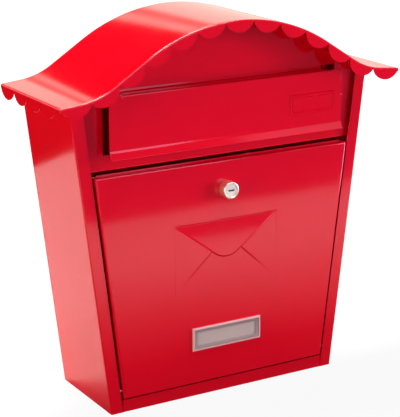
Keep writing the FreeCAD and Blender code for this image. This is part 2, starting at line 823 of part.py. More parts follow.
def make_door_tray():
    """The plain door: a tapered tray with a turned-up lip behind its top flange."""
    body = new_body("door_tray")
    blank = shape_of(*tapered("door_bottom", DOOR_TOP, DOOR_INSET))
    tray = pad(body, "blank", blank, DOOR_BACK, "door_flange")
    round_edges(body, "folds", tray, is_door_fold, "fold_radius")
    low, high = "door_bottom + sheet_gauge", f"{DOOR_TOP} - sheet_gauge"
    hollow = shape_of(*tapered(low, high, f"{DOOR_INSET} + {WALL}"))
    pocket(body, "hollow", hollow, f"{DOOR_BACK} - sheet_gauge", "door_flange")
    half = half_width(DOOR_TOP, f"{DOOR_INSET} + door_lip_end_gap")
    lip = shape_of(*rectangle(f"-{half}", half, high, f"{DOOR_TOP} + door_lip_height"))
    pad(body, "top_lip", lip, DOOR_BACK, "sheet_gauge")
    pocket(body, "front_holes", draw_front_holes, DOOR_BACK, "2 * door_flange")
    pin_hole = circle_of(f"-{HINGE_OUT}", HINGE_UP, f"pin_diameter + {RUNNING_ROOM}")
    pocket(body, "pin_holes", pin_hole, "-body_bottom_width / 2", "body_bottom_width", "YZ_Plane")
    return body


def is_door_fold(edge):
    return is_flat_at(edge, -value(DOOR_OUT), "y")


def draw_front_holes(sketch):
    ring(sketch, "0", "lock_height", f"lock_barrel_diameter + {RUNNING_ROOM}")
    for side in (-1, 1):
        ring(sketch, stud_across(side), NAME_MIDDLE, f"stud_diameter + {RUNNING_ROOM}")


def stud_across(side):
    return f"{side} * (name_width - name_rim) / 2"


def flap_triangle():
    """The envelope's top flap: a wide V with a rounded point."""
    slope = "atan(2 * flap_point_drop / envelope_width)"
    across = f"flap_point_radius * sin({slope})"
    up = f"{ENVELOPE_TOP} - flap_point_drop + flap_point_radius * (1 / cos({slope}) - cos({slope}))"
    return [
        ("-envelope_width / 2", ENVELOPE_TOP),
        (f"-{across}", up),
        (across, up, "flap_point_radius"),
        ("envelope_width / 2", ENVELOPE_TOP),
    ]


FOLD_REACH = "(envelope_height / (tan(side_fold_angle) + 2 * flap_point_drop / envelope_width))"


def side_fold_triangle():
    """The left side fold, which shows below the top flap."""
    edge = "-envelope_width / 2"
    meeting = (f"{edge} + {FOLD_REACH}", f"envelope_bottom + {FOLD_REACH} * tan(side_fold_angle)")
    return [(edge, ENVELOPE_TOP), (edge, "envelope_bottom"), meeting]


def region(name, corners):
    """A block through the door's plate, with the outline of one fold."""
    body = new_body(name)
    pad(body, f"{name}_block", shape_of(*corners), f"{DOOR_PLATE_BACK} - sheet_gauge", "3 * sheet_gauge")
    return body


FLAP_LEAN = "atan((press_sink + flap_press_rise) / flap_point_drop)"
FOLD_LEAN = f"atan((press_sink + side_fold_rise) / {FOLD_REACH})"
SUNK_FACE = f"({DOOR_OUT} - press_sink)"


def leaning(name, axis, angle, lean, size, corner):
    """A pressed stretch of the door's plate, turned about one corner. Its start is past its region."""
    length, height = size
    thing = block(name, *corner, length, f"sheet_gauge * cos({lean})", height)
    thing.Placement = FreeCAD.Placement(FreeCAD.Vector(), FreeCAD.Rotation(FreeCAD.Vector(*axis), 1))
    place(thing, *corner)
    bind(thing, Placement__Rotation__Angle=angle)
    return thing


def leaning_flap():
    """The top flap's sheet, which comes forwards as it goes down."""
    corner = (
        "-envelope_width / 2",
        f"{SUNK_FACE} - sheet_gauge - sheet_gauge * sin({FLAP_LEAN})",
        f"{ENVELOPE_TOP} + sheet_gauge * cos({FLAP_LEAN})",
    )
    size = ("envelope_width", "envelope_height")
    return leaning("flap_slab", (1, 0, 0), f"180 deg - {FLAP_LEAN}", FLAP_LEAN, size, corner)


def leaning_fold():
    """The left fold's sheet, which comes forwards as it goes in."""
    corner = (
        f"-envelope_width / 2 - sheet_gauge * cos({FOLD_LEAN})",
        f"{SUNK_FACE} - sheet_gauge * sin({FOLD_LEAN})",
        "envelope_bottom",
    )
    size = ("envelope_width / 2", "envelope_height")
    return leaning("fold_slab", (0, 0, -1), FOLD_LEAN, FOLD_LEAN, size, corner)


def common(name, first, second):
    both = doc.addObject("Part::MultiCommon", name)
    both.Shapes = [first, second]
    return both


def mirrored(name, source):
    copy = doc.addObject("Part::Mirroring", name)
    copy.Source = source
    copy.Normal = FreeCAD.Vector(1, 0, 0)
    return copy


def make_door():
    """The door, with an envelope pressed into its plate as three leaning folds."""
    tray = make_door_tray()
    flap, fold = region("flap_region", flap_triangle()), region("fold_region", side_fold_triangle())
    far_fold = mirrored("far_fold_region", fold)
    flap_sheet = common("flap_sheet", flap, leaning_flap())
    fold_sheet = common("fold_sheet", fold, leaning_fold())
    far_fold_sheet = mirrored("far_fold_sheet", fold_sheet)
    opened = cut_from("door_opened", tray, joined("fold_regions", [flap, fold, far_fold]))
    keep(joined("door_pressed", [opened, flap_sheet, fold_sheet, far_fold_sheet]), "door")


DOOR_SIDE = f"{half_width(HINGE_UP, DOOR_INSET)}"
LUG_IN = f"({DOOR_SIDE} + lug_side_gap)"


def make_door_lug(side, name):
    """Angle lug on the floor pan, which carries one hinge pin beside the door."""
    plate_height = f"{HINGE_UP} + lug_above_pin - sheet_gauge"
    front = "body_depth - sheet_gauge"
    inner = LUG_IN if side > 0 else f"-{LUG_IN} - lug_gauge"
    outer = f"{LUG_IN} + lug_gauge" if side > 0 else f"-{LUG_IN} - lug_gauge - lug_foot_width"
    plate = block(f"lug_plate_{name}", inner, front, "sheet_gauge", "lug_gauge", "lug_depth", plate_height)
    foot_size = ("lug_foot_width", "lug_depth", "lug_gauge")
    foot = block(f"lug_foot_{name}", outer, front, "sheet_gauge", *foot_size)
    hole_start = f"{inner} - lug_gauge"
    hole = bar(f"lug_hole_{name}", hole_start, HINGE_OUT, HINGE_UP, "pin_diameter", "3 * lug_gauge")
    lug = cut_from(f"lug_{name}", joined(f"lug_angle_{name}", [plate, foot]), hole)
    keep(lug, f"door_lug_{name}")


def make_door_pin(side, name):
    """Headed pin, fast in its lug, on which the door's side flange turns."""
    start = f"({DOOR_SIDE} - {WALL} - pin_end)"
    length = f"(pin_end + {WALL} + lug_side_gap + lug_gauge)"
    shank_at = start if side > 0 else f"-{start} - {length}"
    head_at = f"{start} - pin_head_length" if side > 0 else f"-{start}"
    shank = bar(f"pin_shank_{name}", shank_at, HINGE_OUT, HINGE_UP, "pin_diameter", length)
    head = bar(f"pin_head_{name}", head_at, HINGE_OUT, HINGE_UP, "pin_head_diameter", "pin_head_length")
    keep(joined(f"pin_{name}", [shank, head]), f"door_pin_{name}")


# Cam lock, drawn about its own axis and then raised into the door

LOCK_FRONT = f"({DOOR_OUT} + lock_head_length)"
LOCK_FACE = f"({LOCK_FRONT} - lock_rim_depth)"
BARREL_BACK = f"({DOOR_OUT} - lock_barrel_length)"
PLUG_BACK = f"({BARREL_BACK} - plug_tail)"
CAM_BACK = f"({PLUG_BACK} - cam_gauge)"


def turned(name, corners):
    """A turned piece about the Y axis, from corners given as (radius, out)."""
    body = new_body(name)
    sketch = new_sketch(body, f"{name}_profile", "XY_Plane")
    outline(sketch, [(radius, f"-({out})") for radius, out in corners])
    spin = body.newObject("PartDesign::Revolution", f"{name}_spin")
    spin.Profile = sketch
    spin.ReferenceAxis = (sketch, ["V_Axis"])
    spin.Angle = 360
    doc.recompute()
    return body


def in_lock(body, label):
    place(body, up="lock_height")
    return keep(body, label)


def make_lock_body():
    """Turned housing: a proud head with a raised rim, and a barrel through the door."""
    head, barrel = "lock_head_diameter / 2", "lock_barrel_diameter / 2"
    bore = "plug_diameter / 2 + pin_clearance"
    rim = f"{head} - lock_rim_width"
    body = turned("lock_body", [
        (bore, LOCK_FACE),
        (rim, LOCK_FACE),
        (rim, LOCK_FRONT),
        (f"{head} - lock_head_edge", LOCK_FRONT),
        (head, f"{LOCK_FRONT} - lock_head_edge"),
        (head, DOOR_OUT),
        (barrel, DOOR_OUT),
        (barrel, BARREL_BACK),
        (bore, BARREL_BACK),
    ])
    in_lock(body, "lock_body")


def make_lock_plug():
    """The plug that the key turns, with a square tail for the cam and a bore for its screw."""
    radius, screw = "plug_diameter / 2", "cam_screw_diameter / 2"
    corners = [("0", LOCK_FACE), (radius, LOCK_FACE), (radius, PLUG_BACK), ("0", PLUG_BACK)]
    body = turned("lock_plug", corners)
    half = "cam_square / 2"
    square = shape_of(*rectangle(f"-{half}", half, f"-{half}", half))
    pad(body, "square_tail", square, CAM_BACK, "cam_gauge")
    keyway = shape_of(*keyway_outline())
    pocket(body, "keyway", keyway, f"{LOCK_FACE} - keyway_depth", "keyway_depth + lock_rim_depth")
    bore = circle_of("0", "0", "cam_screw_diameter")
    pocket(body, "screw_bore", bore, CAM_BACK, "cam_screw_grip")
    in_lock(body, "lock_plug")


def keyway_outline():
    """A keyway that is waisted in the middle."""
    half, rise, waist = "keyway_width / 2", "keyway_height / 2", "keyway_waist / 2"
    return [
        (f"-{half}", f"-{rise}"),
        ("0", f"-{waist}"),
        (half, f"-{rise}"),
        (half, rise),
        ("0", waist),
        (f"-{half}", rise),
    ]


def make_lock_nut():
    body = new_body("lock_nut")
    corner = "nut_across_flats / (2 * cos(30))"
    hexagon = [(f"{corner} * cos({60 * i})", f"{corner} * sin({60 * i})") for i in range(6)]

    def draw(sketch):
        outline(sketch, hexagon)
        ring(sketch, "0", "0", "lock_barrel_diameter")

    pad(body, "hexagon", draw, f"{DOOR_PLATE_BACK} - nut_thickness", "nut_thickness")
    in_lock(body, "lock_nut")


def make_lock_cam():
    """The flat arm that catches behind the front panel's bottom flange when it points up."""
    body = new_body("lock_cam")
    radius, reach = "cam_width / 2", "(cam_length - cam_width / 2)"
    square = "cam_square / 2"

    def draw(sketch):
        outline(sketch, [
            ("0", f"-{radius}", radius),
            (reach, f"-{radius}"),
            (f"{reach} + {radius}", "0", radius),
            (reach, radius, radius),
            ("0", radius),
            (f"-{radius}", "0", radius),
        ])
        outline(sketch, rectangle(f"-{square}", square, f"-{square}", square))

    pad(body, "arm", draw, CAM_BACK, "cam_gauge")
    in_lock(body, "lock_cam")


def make_cam_screw():
    head, shank = "cam_screw_head_diameter / 2", "cam_screw_diameter / 2"
    body = turned("cam_screw", [
        ("0", f"{CAM_BACK} + cam_screw_grip"),
        (shank, f"{CAM_BACK} + cam_screw_grip"),
        (shank, CAM_BACK),
        (head, CAM_BACK),
        (head, f"{CAM_BACK} - cam_screw_head_height"),
        ("0", f"{CAM_BACK} - cam_screw_head_height"),
    ])
    in_lock(body, "cam_screw")


# Name holder

def name_area(inset):
    """The name holder's outline, drawn in by an inset on all sides."""
    half = f"(name_width / 2 - ({inset}))"
    return rectangle(f"-{half}", half, f"name_bottom + ({inset})", f"name_bottom + name_height - ({inset})")


def is_name_front(edge):
    return is_flat_at(edge, -value(f"{DOOR_OUT} + name_thickness"), "y")


def is_window_front(edge):
    """The front edges of the window, which lie further in than the outer bevel."""
    box = edge.BoundBox
    reach = max(abs(box.XMin), abs(box.XMax))
    return is_name_front(edge) and reach < value("name_width / 2 - name_rim") + TOUCH


def make_name_frame():
    """Clear holder: a bevelled rim round a thin pane, with two studs that snap through the door."""
    body = new_body("name_frame")
    slab_feature = pad(body, "rim", shape_of(*name_area("0")), DOOR_OUT, "name_thickness")
    bevel_edges(body, "bevel", slab_feature, is_name_front, "name_bevel")
    front = f"{DOOR_OUT} + pane_back + pane_gauge"
    window = pocket(body, "window", shape_of(*name_area("name_rim")), front, "name_thickness")
    bevel_edges(body, "window_bevel", window, is_window_front, "name_window_bevel")
    recess = shape_of(*name_area("name_rim - card_edge_gap"))
    pocket(body, "card_recess", recess, f"{DOOR_OUT} - pane_back", "2 * pane_back")

    def draw_studs(sketch):
        for side in (-1, 1):
            ring(sketch, stud_across(side), NAME_MIDDLE, "stud_diameter")

    pad(body, "studs", draw_studs, f"{DOOR_OUT} - stud_length", "stud_length")
    keep(body, "name_frame")


def make_name_card():
    body = new_body("name_card")
    pad(body, "card", shape_of(*name_area("name_rim")), DOOR_OUT, "card_gauge")
    keep(body, "name_card")


fill_sheet()
make_body_shell()
make_floor_pan()
make_front_panel()
make_roof()
make_mail_flap()
make_flap_rod()
make_door()
for hand, hand_name in ((-1, "left"), (1, "right")):
    make_flap_bracket(hand, hand_name)
    make_door_lug(hand, hand_name)
    make_door_pin(hand, hand_name)
make_lock_body()
make_lock_nut()
make_lock_plug()
make_lock_cam()
make_cam_screw()
make_name_frame()
make_name_card()
doc.recompute()


def write_parts():
    """Check every object, then write each piece to its own file."""
    for item in doc.Objects:
        if "Invalid" in item.State or "Error" in item.State:
            raise RuntimeError(f"{item.Label} has failed: {item.State}")
    os.makedirs("parts", exist_ok=True)
    for part in parts:
        if part.Shape.isNull() or not part.Shape.isValid():
            raise RuntimeError(f"{part.Label} has no valid shape")
    for part in parts:
        part.Shape.exportStep(f"parts/{part.Label}.step")
        box = part.Shape.BoundBox
        print(part.Label, len(part.Shape.Solids), round(part.Shape.Volume), box)


write_parts()
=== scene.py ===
# %% [markdown]
# This scene dresses a wall mounted post box of folded sheet steel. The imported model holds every
# piece at its real size, and this file gives the pieces their rounded folds, pressings and paint.
# Lengths are in metres, with the wall at y = 0, the front towards -Y and Z up.

# %% The frame
import math

import bmesh
import bpy
from bmesh.types import BMEdge, BMVert
from mathutils import Matrix, Vector


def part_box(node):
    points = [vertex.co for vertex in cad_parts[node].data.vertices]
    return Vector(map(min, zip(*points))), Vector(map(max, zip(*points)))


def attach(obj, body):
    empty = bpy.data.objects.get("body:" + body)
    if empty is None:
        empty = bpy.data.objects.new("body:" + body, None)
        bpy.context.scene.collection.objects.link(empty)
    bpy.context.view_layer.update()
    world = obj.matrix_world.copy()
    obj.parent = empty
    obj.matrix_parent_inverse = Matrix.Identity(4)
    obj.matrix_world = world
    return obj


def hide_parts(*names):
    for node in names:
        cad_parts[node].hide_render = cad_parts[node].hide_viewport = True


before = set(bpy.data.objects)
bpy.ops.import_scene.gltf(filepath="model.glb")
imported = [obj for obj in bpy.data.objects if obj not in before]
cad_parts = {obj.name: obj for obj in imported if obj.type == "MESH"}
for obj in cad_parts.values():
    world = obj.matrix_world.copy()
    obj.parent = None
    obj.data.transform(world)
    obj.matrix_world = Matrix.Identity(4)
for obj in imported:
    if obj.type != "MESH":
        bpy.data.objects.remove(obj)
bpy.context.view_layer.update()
MM = 0.001
print("nodes in the frame:", len(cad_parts))

# %% [markdown]
# Colours are written as the hex values that a colour picker shows, and one function turns them
# into the linear light that Cycles works with. The others add a node, stretch a value, pick a
# colour from a ramp and start a material, which keeps each finish readable as a list of what it
# is made of.

# %% Colours and nodes
def linear(hex_value):
    """The linear colour of an sRGB hex value."""
    parts = [int(hex_value[i:i + 2], 16) / 255 for i in (1, 3, 5)]
    return (*[c / 12.92 if c <= 0.04045 else ((c + 0.055) / 1.055) ** 2.4 for c in parts], 1.0)


def add_node(tree, kind, inputs=None, **settings):
    """Add a node. An input is a value, or another node's output to link."""
    node = tree.nodes.new(kind)
    for name, setting in settings.items():
        setattr(node, name, setting)
    for name, given in (inputs or {}).items():
        if isinstance(given, bpy.types.NodeSocket):
            tree.links.new(given, node.inputs[name])
        else:
            node.inputs[name].default_value = given
    return node


def stretch(tree, value, low, high, to_low=0.0, to_high=1.0):
    """Map a range of a value onto another range."""
    return add_node(tree, "ShaderNodeMapRange", {
        "Value": value, "From Min": low, "From Max": high, "To Min": to_low, "To Max": to_high,
    }).outputs["Result"]


def pick_colour(tree, value, stops):
    """The colour that a value picks from a ramp, whose stops rise from the ramp's start."""
    ramp = add_node(tree, "ShaderNodeValToRGB", {"Fac": value})
    elements = ramp.color_ramp.elements
    elements.remove(elements[1])
    for place, _ in stops[1:]:
        elements.new(place)
    for element, (_, colour) in zip(elements, stops):
        element.color = colour
    return ramp.outputs["Color"]


def new_material(name, slot, inputs):
    """A material, its tree, and its shader with some inputs set. The slot is the record's."""
    material = bpy.data.materials.new(name)
    material.use_nodes = True
    if slot:
        material["slot"] = slot
    shader = material.node_tree.nodes["Principled BSDF"]
    for key, value in inputs.items():
        shader.inputs[key].default_value = value
    return material, material.node_tree, shader


# %% [markdown]
# No real finish is even. A noise in the piece's own space, with features of a real size, lets the
# gloss or the tint wander between two values. A noise seldom leaves its middle range, so the
# gloss follows that range only.

# %% Uneven finishes
NOISE_LOW, NOISE_HIGH = 0.3, 0.7


def object_noise(tree, size_mm, detail):
    """A noise whose features are about this many millimetres across."""
    return add_node(tree, "ShaderNodeTexNoise", {
        "Vector": add_node(tree, "ShaderNodeTexCoord").outputs["Object"],
        "Scale": 1 / (size_mm * MM), "Detail": detail,
    }).outputs["Fac"]


def vary_gloss(tree, shader, noise, low, high):
    gloss = stretch(tree, noise, NOISE_LOW, NOISE_HIGH, low, high)
    tree.links.new(gloss, shader.inputs["Roughness"])


def vary_tint(tree, shader, noise, dark, light):
    tint = pick_colour(tree, noise, [(0.0, linear(dark)), (1.0, linear(light))])
    tree.links.new(tint, shader.inputs["Base Color"])


# %% [markdown]
# The sheet metal wears a gloss polyester powder coat. Powder melts and flows in the oven, and
# never quite levels: it keeps a low waviness, the orange peel, that breaks up the edge of each
# reflection. The waves are 2.6 mm long and at most 0.016 mm high, so they are a bump, and a
# finer, weaker one lies on top. A slow cloud varies the tint and the gloss a little, as uneven
# powder does.

# %% Red powder coat
PEEL_LONG, PEEL_HIGH = 2.6, 0.016 * MM
GRAIN_LONG, GRAIN_HIGH = 0.9, 0.0015 * MM

powder_coat, tree, shader = new_material("gloss_powder_coat", "red_paint", {"IOR": 1.55})
grain = add_node(tree, "ShaderNodeBump", {
    "Height": object_noise(tree, GRAIN_LONG, detail=0.0), "Distance": GRAIN_HIGH, "Strength": 1.0,
})
peel = add_node(tree, "ShaderNodeBump", {
    "Height": object_noise(tree, PEEL_LONG, detail=1.0), "Distance": PEEL_HIGH, "Strength": 1.0,
    "Normal": grain.outputs["Normal"],
})
tree.links.new(peel.outputs["Normal"], shader.inputs["Normal"])
cloud = object_noise(tree, size_mm=40, detail=3.0)
vary_tint(tree, shader, cloud, "#D80016", "#DE0019")
vary_gloss(tree, shader, cloud, 0.06, 0.09)
print("made", powder_coat.name)

# %% [markdown]
# The lock is turned brass with a nickel plate, which is a little warmer than chrome. It is satin,
# so its face shows one even tone and only the rounded rim draws bright rings. Handling varies the
# gloss in patches of a few millimetres, which one noise gives.

# %% Nickel plate
nickel, tree, shader = new_material("nickel_plate", "nickel", {
    "Base Color": linear("#F6EACC"), "Metallic": 1.0,
})
vary_gloss(tree, shader, object_noise(tree, size_mm=3, detail=3.0), 0.34, 0.42)

# %% [markdown]
# Rods, pins, nut and cam are steel with a bright zinc plate: a cooler, duller grey with a spangle
# that is a few tenths of a millimetre across.

# %% Zinc plate
zinc, tree, shader = new_material("zinc_plate", "zinc_steel", {"Metallic": 1.0})
spangle = object_noise(tree, size_mm=0.8, detail=2.0)
vary_gloss(tree, shader, spangle, 0.28, 0.42)
vary_tint(tree, shader, spangle, "#A9ADB2", "#C2C5C8")

# %% [markdown]
# The name holder is moulded in clear polystyrene. The rim is milky, and its pink tint is painted
# light: it stands in for the red door's light that scatters in the thick plastic. The thin pane
# over
# the card is clear: it is drawn with alpha, which lets the lamps reach the card. The sloping wall
# between them has a brownish grey that is painted shade, for the shadow seen through its
# thickness. One function makes all three.

# %% Clear plastic
def polystyrene(name, tint, through, alpha, gloss):
    material, tree, shader = new_material(name, "clear_plastic", {
        "Base Color": linear(tint), "Transmission Weight": through, "Alpha": alpha, "IOR": 1.59,
    })
    vary_gloss(tree, shader, object_noise(tree, size_mm=6, detail=2.0), gloss, gloss + 0.06)
    return material


# The rim's pink tint is painted light, for the red door's glow in the thick plastic.
rim_painted_door_glow = polystyrene("clear_polystyrene_rim_painted_glow", "#F8BCAC", 0.2, 1.0, 0.12)
# The wall's brownish grey is painted shade, for the shadow seen through the clear wall.
wall_painted_shade = polystyrene("clear_polystyrene_wall_painted_shade", "#A8947E", 0.2, 1.0, 0.10)
clear_pane = polystyrene("clear_polystyrene_pane", "#F4E9E0", 0.0, 0.12, 0.05)

# %% [markdown]
# The card behind the window is plain uncoated board, which has a faint cloudy fibre.

# %% Card
card, tree, shader = new_material("uncoated_card", "card", {"Roughness": 0.7})
vary_tint(tree, shader, object_noise(tree, size_mm=0.7, detail=5.0), "#AC9068", "#C2A47A")
made = (powder_coat, nickel, zinc, rim_painted_door_glow, wall_painted_shade, clear_pane, card)
print("finishes:", [material.name for material in made])

# %% [markdown]
# The camera stands where the photograph was taken from: to the left and a little above, with a
# long lens. Its place was fitted to the straight edges in the picture.

# %% Camera
CAMERA_EYE = Vector((-807.93, -1444.09, 659.17)) * MM
CAMERA_AIM = Vector((-31.05, -115.0, 210.27)) * MM
CAMERA_ROLL = math.radians(-0.182)
PIXEL_FOCAL = 1531.1
PICTURE_LONG_SIDE = 417
SENSOR_MM = 36.0


def add_object(name, data):
    """An object at the origin, linked to the scene."""
    made = bpy.data.objects.new(name, data)
    bpy.context.scene.collection.objects.link(made)
    return made


def aimed(eye, aim):
    """The place and turn of a camera or a lamp that looks from one point at another."""
    looking = (Vector(aim) - Vector(eye)).to_track_quat("-Z", "Y")
    return Matrix.Translation(eye) @ looking.to_matrix().to_4x4()


camera_data = bpy.data.cameras.new("camera")
camera_data.sensor_width = SENSOR_MM
camera_data.lens = PIXEL_FOCAL / PICTURE_LONG_SIDE * SENSOR_MM
camera = add_object("camera", camera_data)
camera.matrix_world = aimed(CAMERA_EYE, CAMERA_AIM) @ Matrix.Rotation(CAMERA_ROLL, 4, "Z")
bpy.context.scene.camera = camera
print("lens", round(camera_data.lens, 1), "mm")

# %% [markdown]
# Gloss paint is drawn by what it mirrors, so the room matters more than the lamps. The box stands
# on a pale table. The table is no wider than it has to be: the lower part of the door and of the
# left side mirror it and look milky, and higher up they mirror the dark room beyond it. A band in
# front of the foot is painted darker, a painted shadow of the box, and keeps the foot and the
# door's bottom a deep red. The camera itself sees the table almost as white as the background, as
# on a cut-out picture.

# %% Table
TABLE_HALF = 0.70
TABLE_Y, TABLE_Z = -0.05, -0.2 * MM
PALE, PAINTED_SHADOW = "#DCDCDC", "#404040"
# The dark tone in these stops is the painted shadow in front of the box's foot.
TABLE_TONES = [(-TABLE_HALF, PALE), (-0.55, PALE), (-0.22, PAINTED_SHADOW), (-0.12, PAINTED_SHADOW), (-0.02, PALE)]
SEEN_SHARE, SEEN_GLOW = 0.85, 1.1

table = bmesh.new()
bmesh.ops.create_grid(table, x_segments=1, y_segments=1, size=TABLE_HALF)
bmesh.ops.translate(table, verts=table.verts, vec=(0, TABLE_Y, TABLE_Z))
table_data = bpy.data.meshes.new("table")
table.to_mesh(table_data)
table.free()
pale_table, tree, shader = new_material("pale_table", None, {
    "Roughness": 0.8, "Specular IOR Level": 0.1,
})
on_table = add_node(tree, "ShaderNodeTexCoord").outputs["Object"]
table_y = add_node(tree, "ShaderNodeSeparateXYZ", {"Vector": on_table}).outputs["Y"]
tone = pick_colour(tree, stretch(tree, table_y, -TABLE_HALF, TABLE_HALF), [
    ((y + TABLE_HALF) / (2 * TABLE_HALF), linear(grey)) for y, grey in TABLE_TONES
])
tree.links.new(tone, shader.inputs["Base Color"])
burned_out = add_node(tree, "ShaderNodeEmission", {
    "Color": linear("#FFFFFF"), "Strength": SEEN_GLOW,
})
straight_on = add_node(tree, "ShaderNodeLightPath").outputs["Is Camera Ray"]
seen = add_node(tree, "ShaderNodeMath", {0: straight_on, 1: SEEN_SHARE}, operation="MULTIPLY")
surface = add_node(tree, "ShaderNodeMixShader", {
    0: seen.outputs[0], 1: shader.outputs[0], 2: burned_out.outputs[0],
})
tree.links.new(surface.outputs[0], tree.nodes["Material Output"].inputs["Surface"])
table_data.materials.append(pale_table)
add_object("table", table_data)

# %% [markdown]
# A warm lamp behind and above lights the roof, and a small one over the right shoulder draws the
# cream line along the roof's front fold. Large, slightly blue lamps in front and at the right
# give the door its even red, and small ones at the left and overhead lift the leaning side and
# the top folds. None stands where a flat face would mirror it towards the camera, apart from the
# very dim one at the front right, which gives the flap's lip its sheen.

# %% Lamps
LAMP_AIM = Vector((0, -0.08, 0.25))


def softbox(name, at, size, watts, tint):
    """A square lamp, with its side in metres, that looks at the box."""
    data = bpy.data.lights.new(name, "AREA")
    data.size = size
    data.energy = watts
    data.color = linear(tint)[:3]
    add_object(name, data).matrix_world = aimed(at, LAMP_AIM)


softbox("top", (0.20, 0.90, 1.80), 0.8, 56, "#FFF2E4")
softbox("front", (0.50, -2.4, 0.95), 1.4, 17, "#D0D4FF")
softbox("front_right", (1.75, -1.25, 1.05), 1.3, 4, "#DCE2FF")
softbox("right", (2.1, -1.1, 0.25), 0.8, 64, "#D0D4FF")
softbox("left", (-1.5, -0.5, 0.40), 0.6, 14, "#FFF4E8")
softbox("overhead", (-0.30, -0.58, 1.95), 0.6, 12, "#F0F0FF")
softbox("edge", (0.65, -0.45, 1.9), 0.35, 9, "#FFF4E8")

# %% [markdown]
# Behind the box a low bright backdrop ends 25 degrees above the table, with one dimmer stripe
# across it. The crown and the eaves are nearly level there, so they mirror it in salmon bands,
# while the steep flanks mirror the dark room above it and stay pure red. In front of the box the
# room is dim and a little violet. The camera itself sees plain white.

# %% Room
BACKDROP = [
    (-90, 0.02), (-6, 0.02), (-5, 1.0), (16.5, 1.4), (18.8, 0.5), (20.5, 0.5), (22.5, 1.15),
    (24, 1.15), (25, 0.02), (90, 0.02),
]
BACKDROP_WARMTH = 0.86
BACKDROP_BLEND = 0.25
FRONT_DIM = (0.12, 0.10, 0.22, 1)
SEEN_ROOM = (1.2, 1.2, 1.2, 1)
MIX_A, MIX_B, MIX_RESULT = 6, 7, 2


def ramp_place(elevation):
    """Where an elevation falls on a ramp that runs from straight down to straight up."""
    return (math.sin(math.radians(elevation)) + 1) / 2


def mix_colours(tree, share, first, second):
    return add_node(tree, "ShaderNodeMix", {
        "Factor": share, MIX_A: first, MIX_B: second,
    }, data_type="RGBA").outputs[MIX_RESULT]


world = bpy.data.worlds.new("studio")
bpy.context.scene.world = world
world.use_nodes = True
room = world.node_tree
way = add_node(room, "ShaderNodeTexCoord").outputs["Generated"]
parts = add_node(room, "ShaderNodeSeparateXYZ", {"Vector": way})
backdrop = pick_colour(room, stretch(room, parts.outputs["Z"], -1.0, 1.0), [
    (ramp_place(elevation), (light, light, light * BACKDROP_WARMTH, 1))
    for elevation, light in BACKDROP
])
behind = stretch(room, parts.outputs["Y"], 0.0, BACKDROP_BLEND)
straight_on = add_node(room, "ShaderNodeLightPath").outputs["Is Camera Ray"]
shown = mix_colours(room, straight_on, mix_colours(room, behind, FRONT_DIM, backdrop), SEEN_ROOM)
room.links.new(shown, room.nodes["Background"].inputs["Color"])
bpy.context.scene.view_settings.view_transform = "Standard"
print("room lit from", len(BACKDROP), "stops")

# %% [markdown]
# Each piece of this box is a mesh that ends the same way: it is linked, given its finish,
# smoothed everywhere but at true edges, and tied to the body that it moves with. Cut sheet has a
# hard edge, but paint rounds it by a quarter of a millimetre, and that thin round is what draws
# the bright outlines in the photograph. A Bevel modifier adds it, and a Weighted Normal keeps the
# large faces flat, so that the shading of a fold doesn't run out over the sheet beside it.

# %% Ending a piece
SHARP, CUT_EDGE = math.radians(32), math.radians(75)
PAINT_ROUND = 0.25 * MM
finish_of = {}


def make_piece(name, bm, body, material, stands_for, edge_round=PAINT_ROUND):
    """Turn a finished bmesh into a piece of the scene."""
    data = bpy.data.meshes.new(name)
    bm.to_mesh(data)
    bm.free()
    data.materials.append(material)
    data.shade_smooth()
    data.set_sharp_from_angle(angle=SHARP)
    piece = add_object(name, data)
    if edge_round:
        rounding = piece.modifiers.new("paint_round", "BEVEL")
        rounding.width = edge_round
        rounding.segments = 2
        rounding.limit_method = "ANGLE"
        rounding.angle_limit = CUT_EDGE
        flat = piece.modifiers.new("flat_faces", "WEIGHTED_NORMAL")
        flat.keep_sharp = True
    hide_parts(*stands_for)
    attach(piece, body)
    for node in stands_for:
        finish_of.setdefault(node, material)
    print(name, "has", len(data.polygons), "faces before its edges are rounded")
    return piece


# %% [markdown]
# Sheet metal is modelled as a surface first: the outer face of the sheet. Folds are bevels of
# that surface, with the fold's radius. A Solidify modifier then adds the gauge inwards, and
# stands before the modifier that rounds the edges, so that the cut edges on both faces are
# rounded too. This is how a press brake sees it as well: a flat blank, then bends.

# %% Sheet metal
GAUGE = 1.0 * MM
FOLD_RADIUS = 2.0 * MM


def fold(bm, edges, radius=FOLD_RADIUS, steps=4):
    """Round the edges where a sheet is folded."""
    bmesh.ops.bevel(
        bm, geom=edges, offset=radius, offset_type="OFFSET", segments=steps,
        profile=0.5, affect="EDGES", material=-1, clamp_overlap=False,
    )


def make_sheet(name, bm, body, stands_for, gauge=GAUGE, edge_round=PAINT_ROUND):
    """A piece of sheet: it gets its thickness on the inside, before its edges are rounded."""
    piece = make_piece(name, bm, body, powder_coat, stands_for, edge_round)
    thickness = piece.modifiers.new("gauge", "SOLIDIFY")
    thickness.thickness = gauge
    thickness.offset = -1
    thickness.use_quality_normals = True
    piece.modifiers.move(len(piece.modifiers) - 1, 0)
    return piece


# %% [markdown]
# The roof line is an ogee: a crown arc, straight flanks, hollow valleys and nearly level eaves.
# It is given by the run along the sheet from the crown, because that is how far a bender
# measures, and because the scallops are spaced evenly along the sheet and not across the width.

# %% Roof line
roof_low, roof_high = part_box("roof")
CROWN_RADIUS = 201.0 * MM
FLANK_ANGLE = math.radians(32.5)
FLANK_LENGTH = 43.0 * MM
VALLEY_RADIUS = 80.0 * MM
EAVE_ANGLE = math.radians(5.4)
HALF_ROOF = roof_high.x
CROWN_UP = roof_high.z - CROWN_RADIUS


def along(slope):
    return Vector((math.cos(slope), 0, -math.sin(slope)))


def outwards(slope):
    return Vector((math.sin(slope), 0, math.cos(slope)))


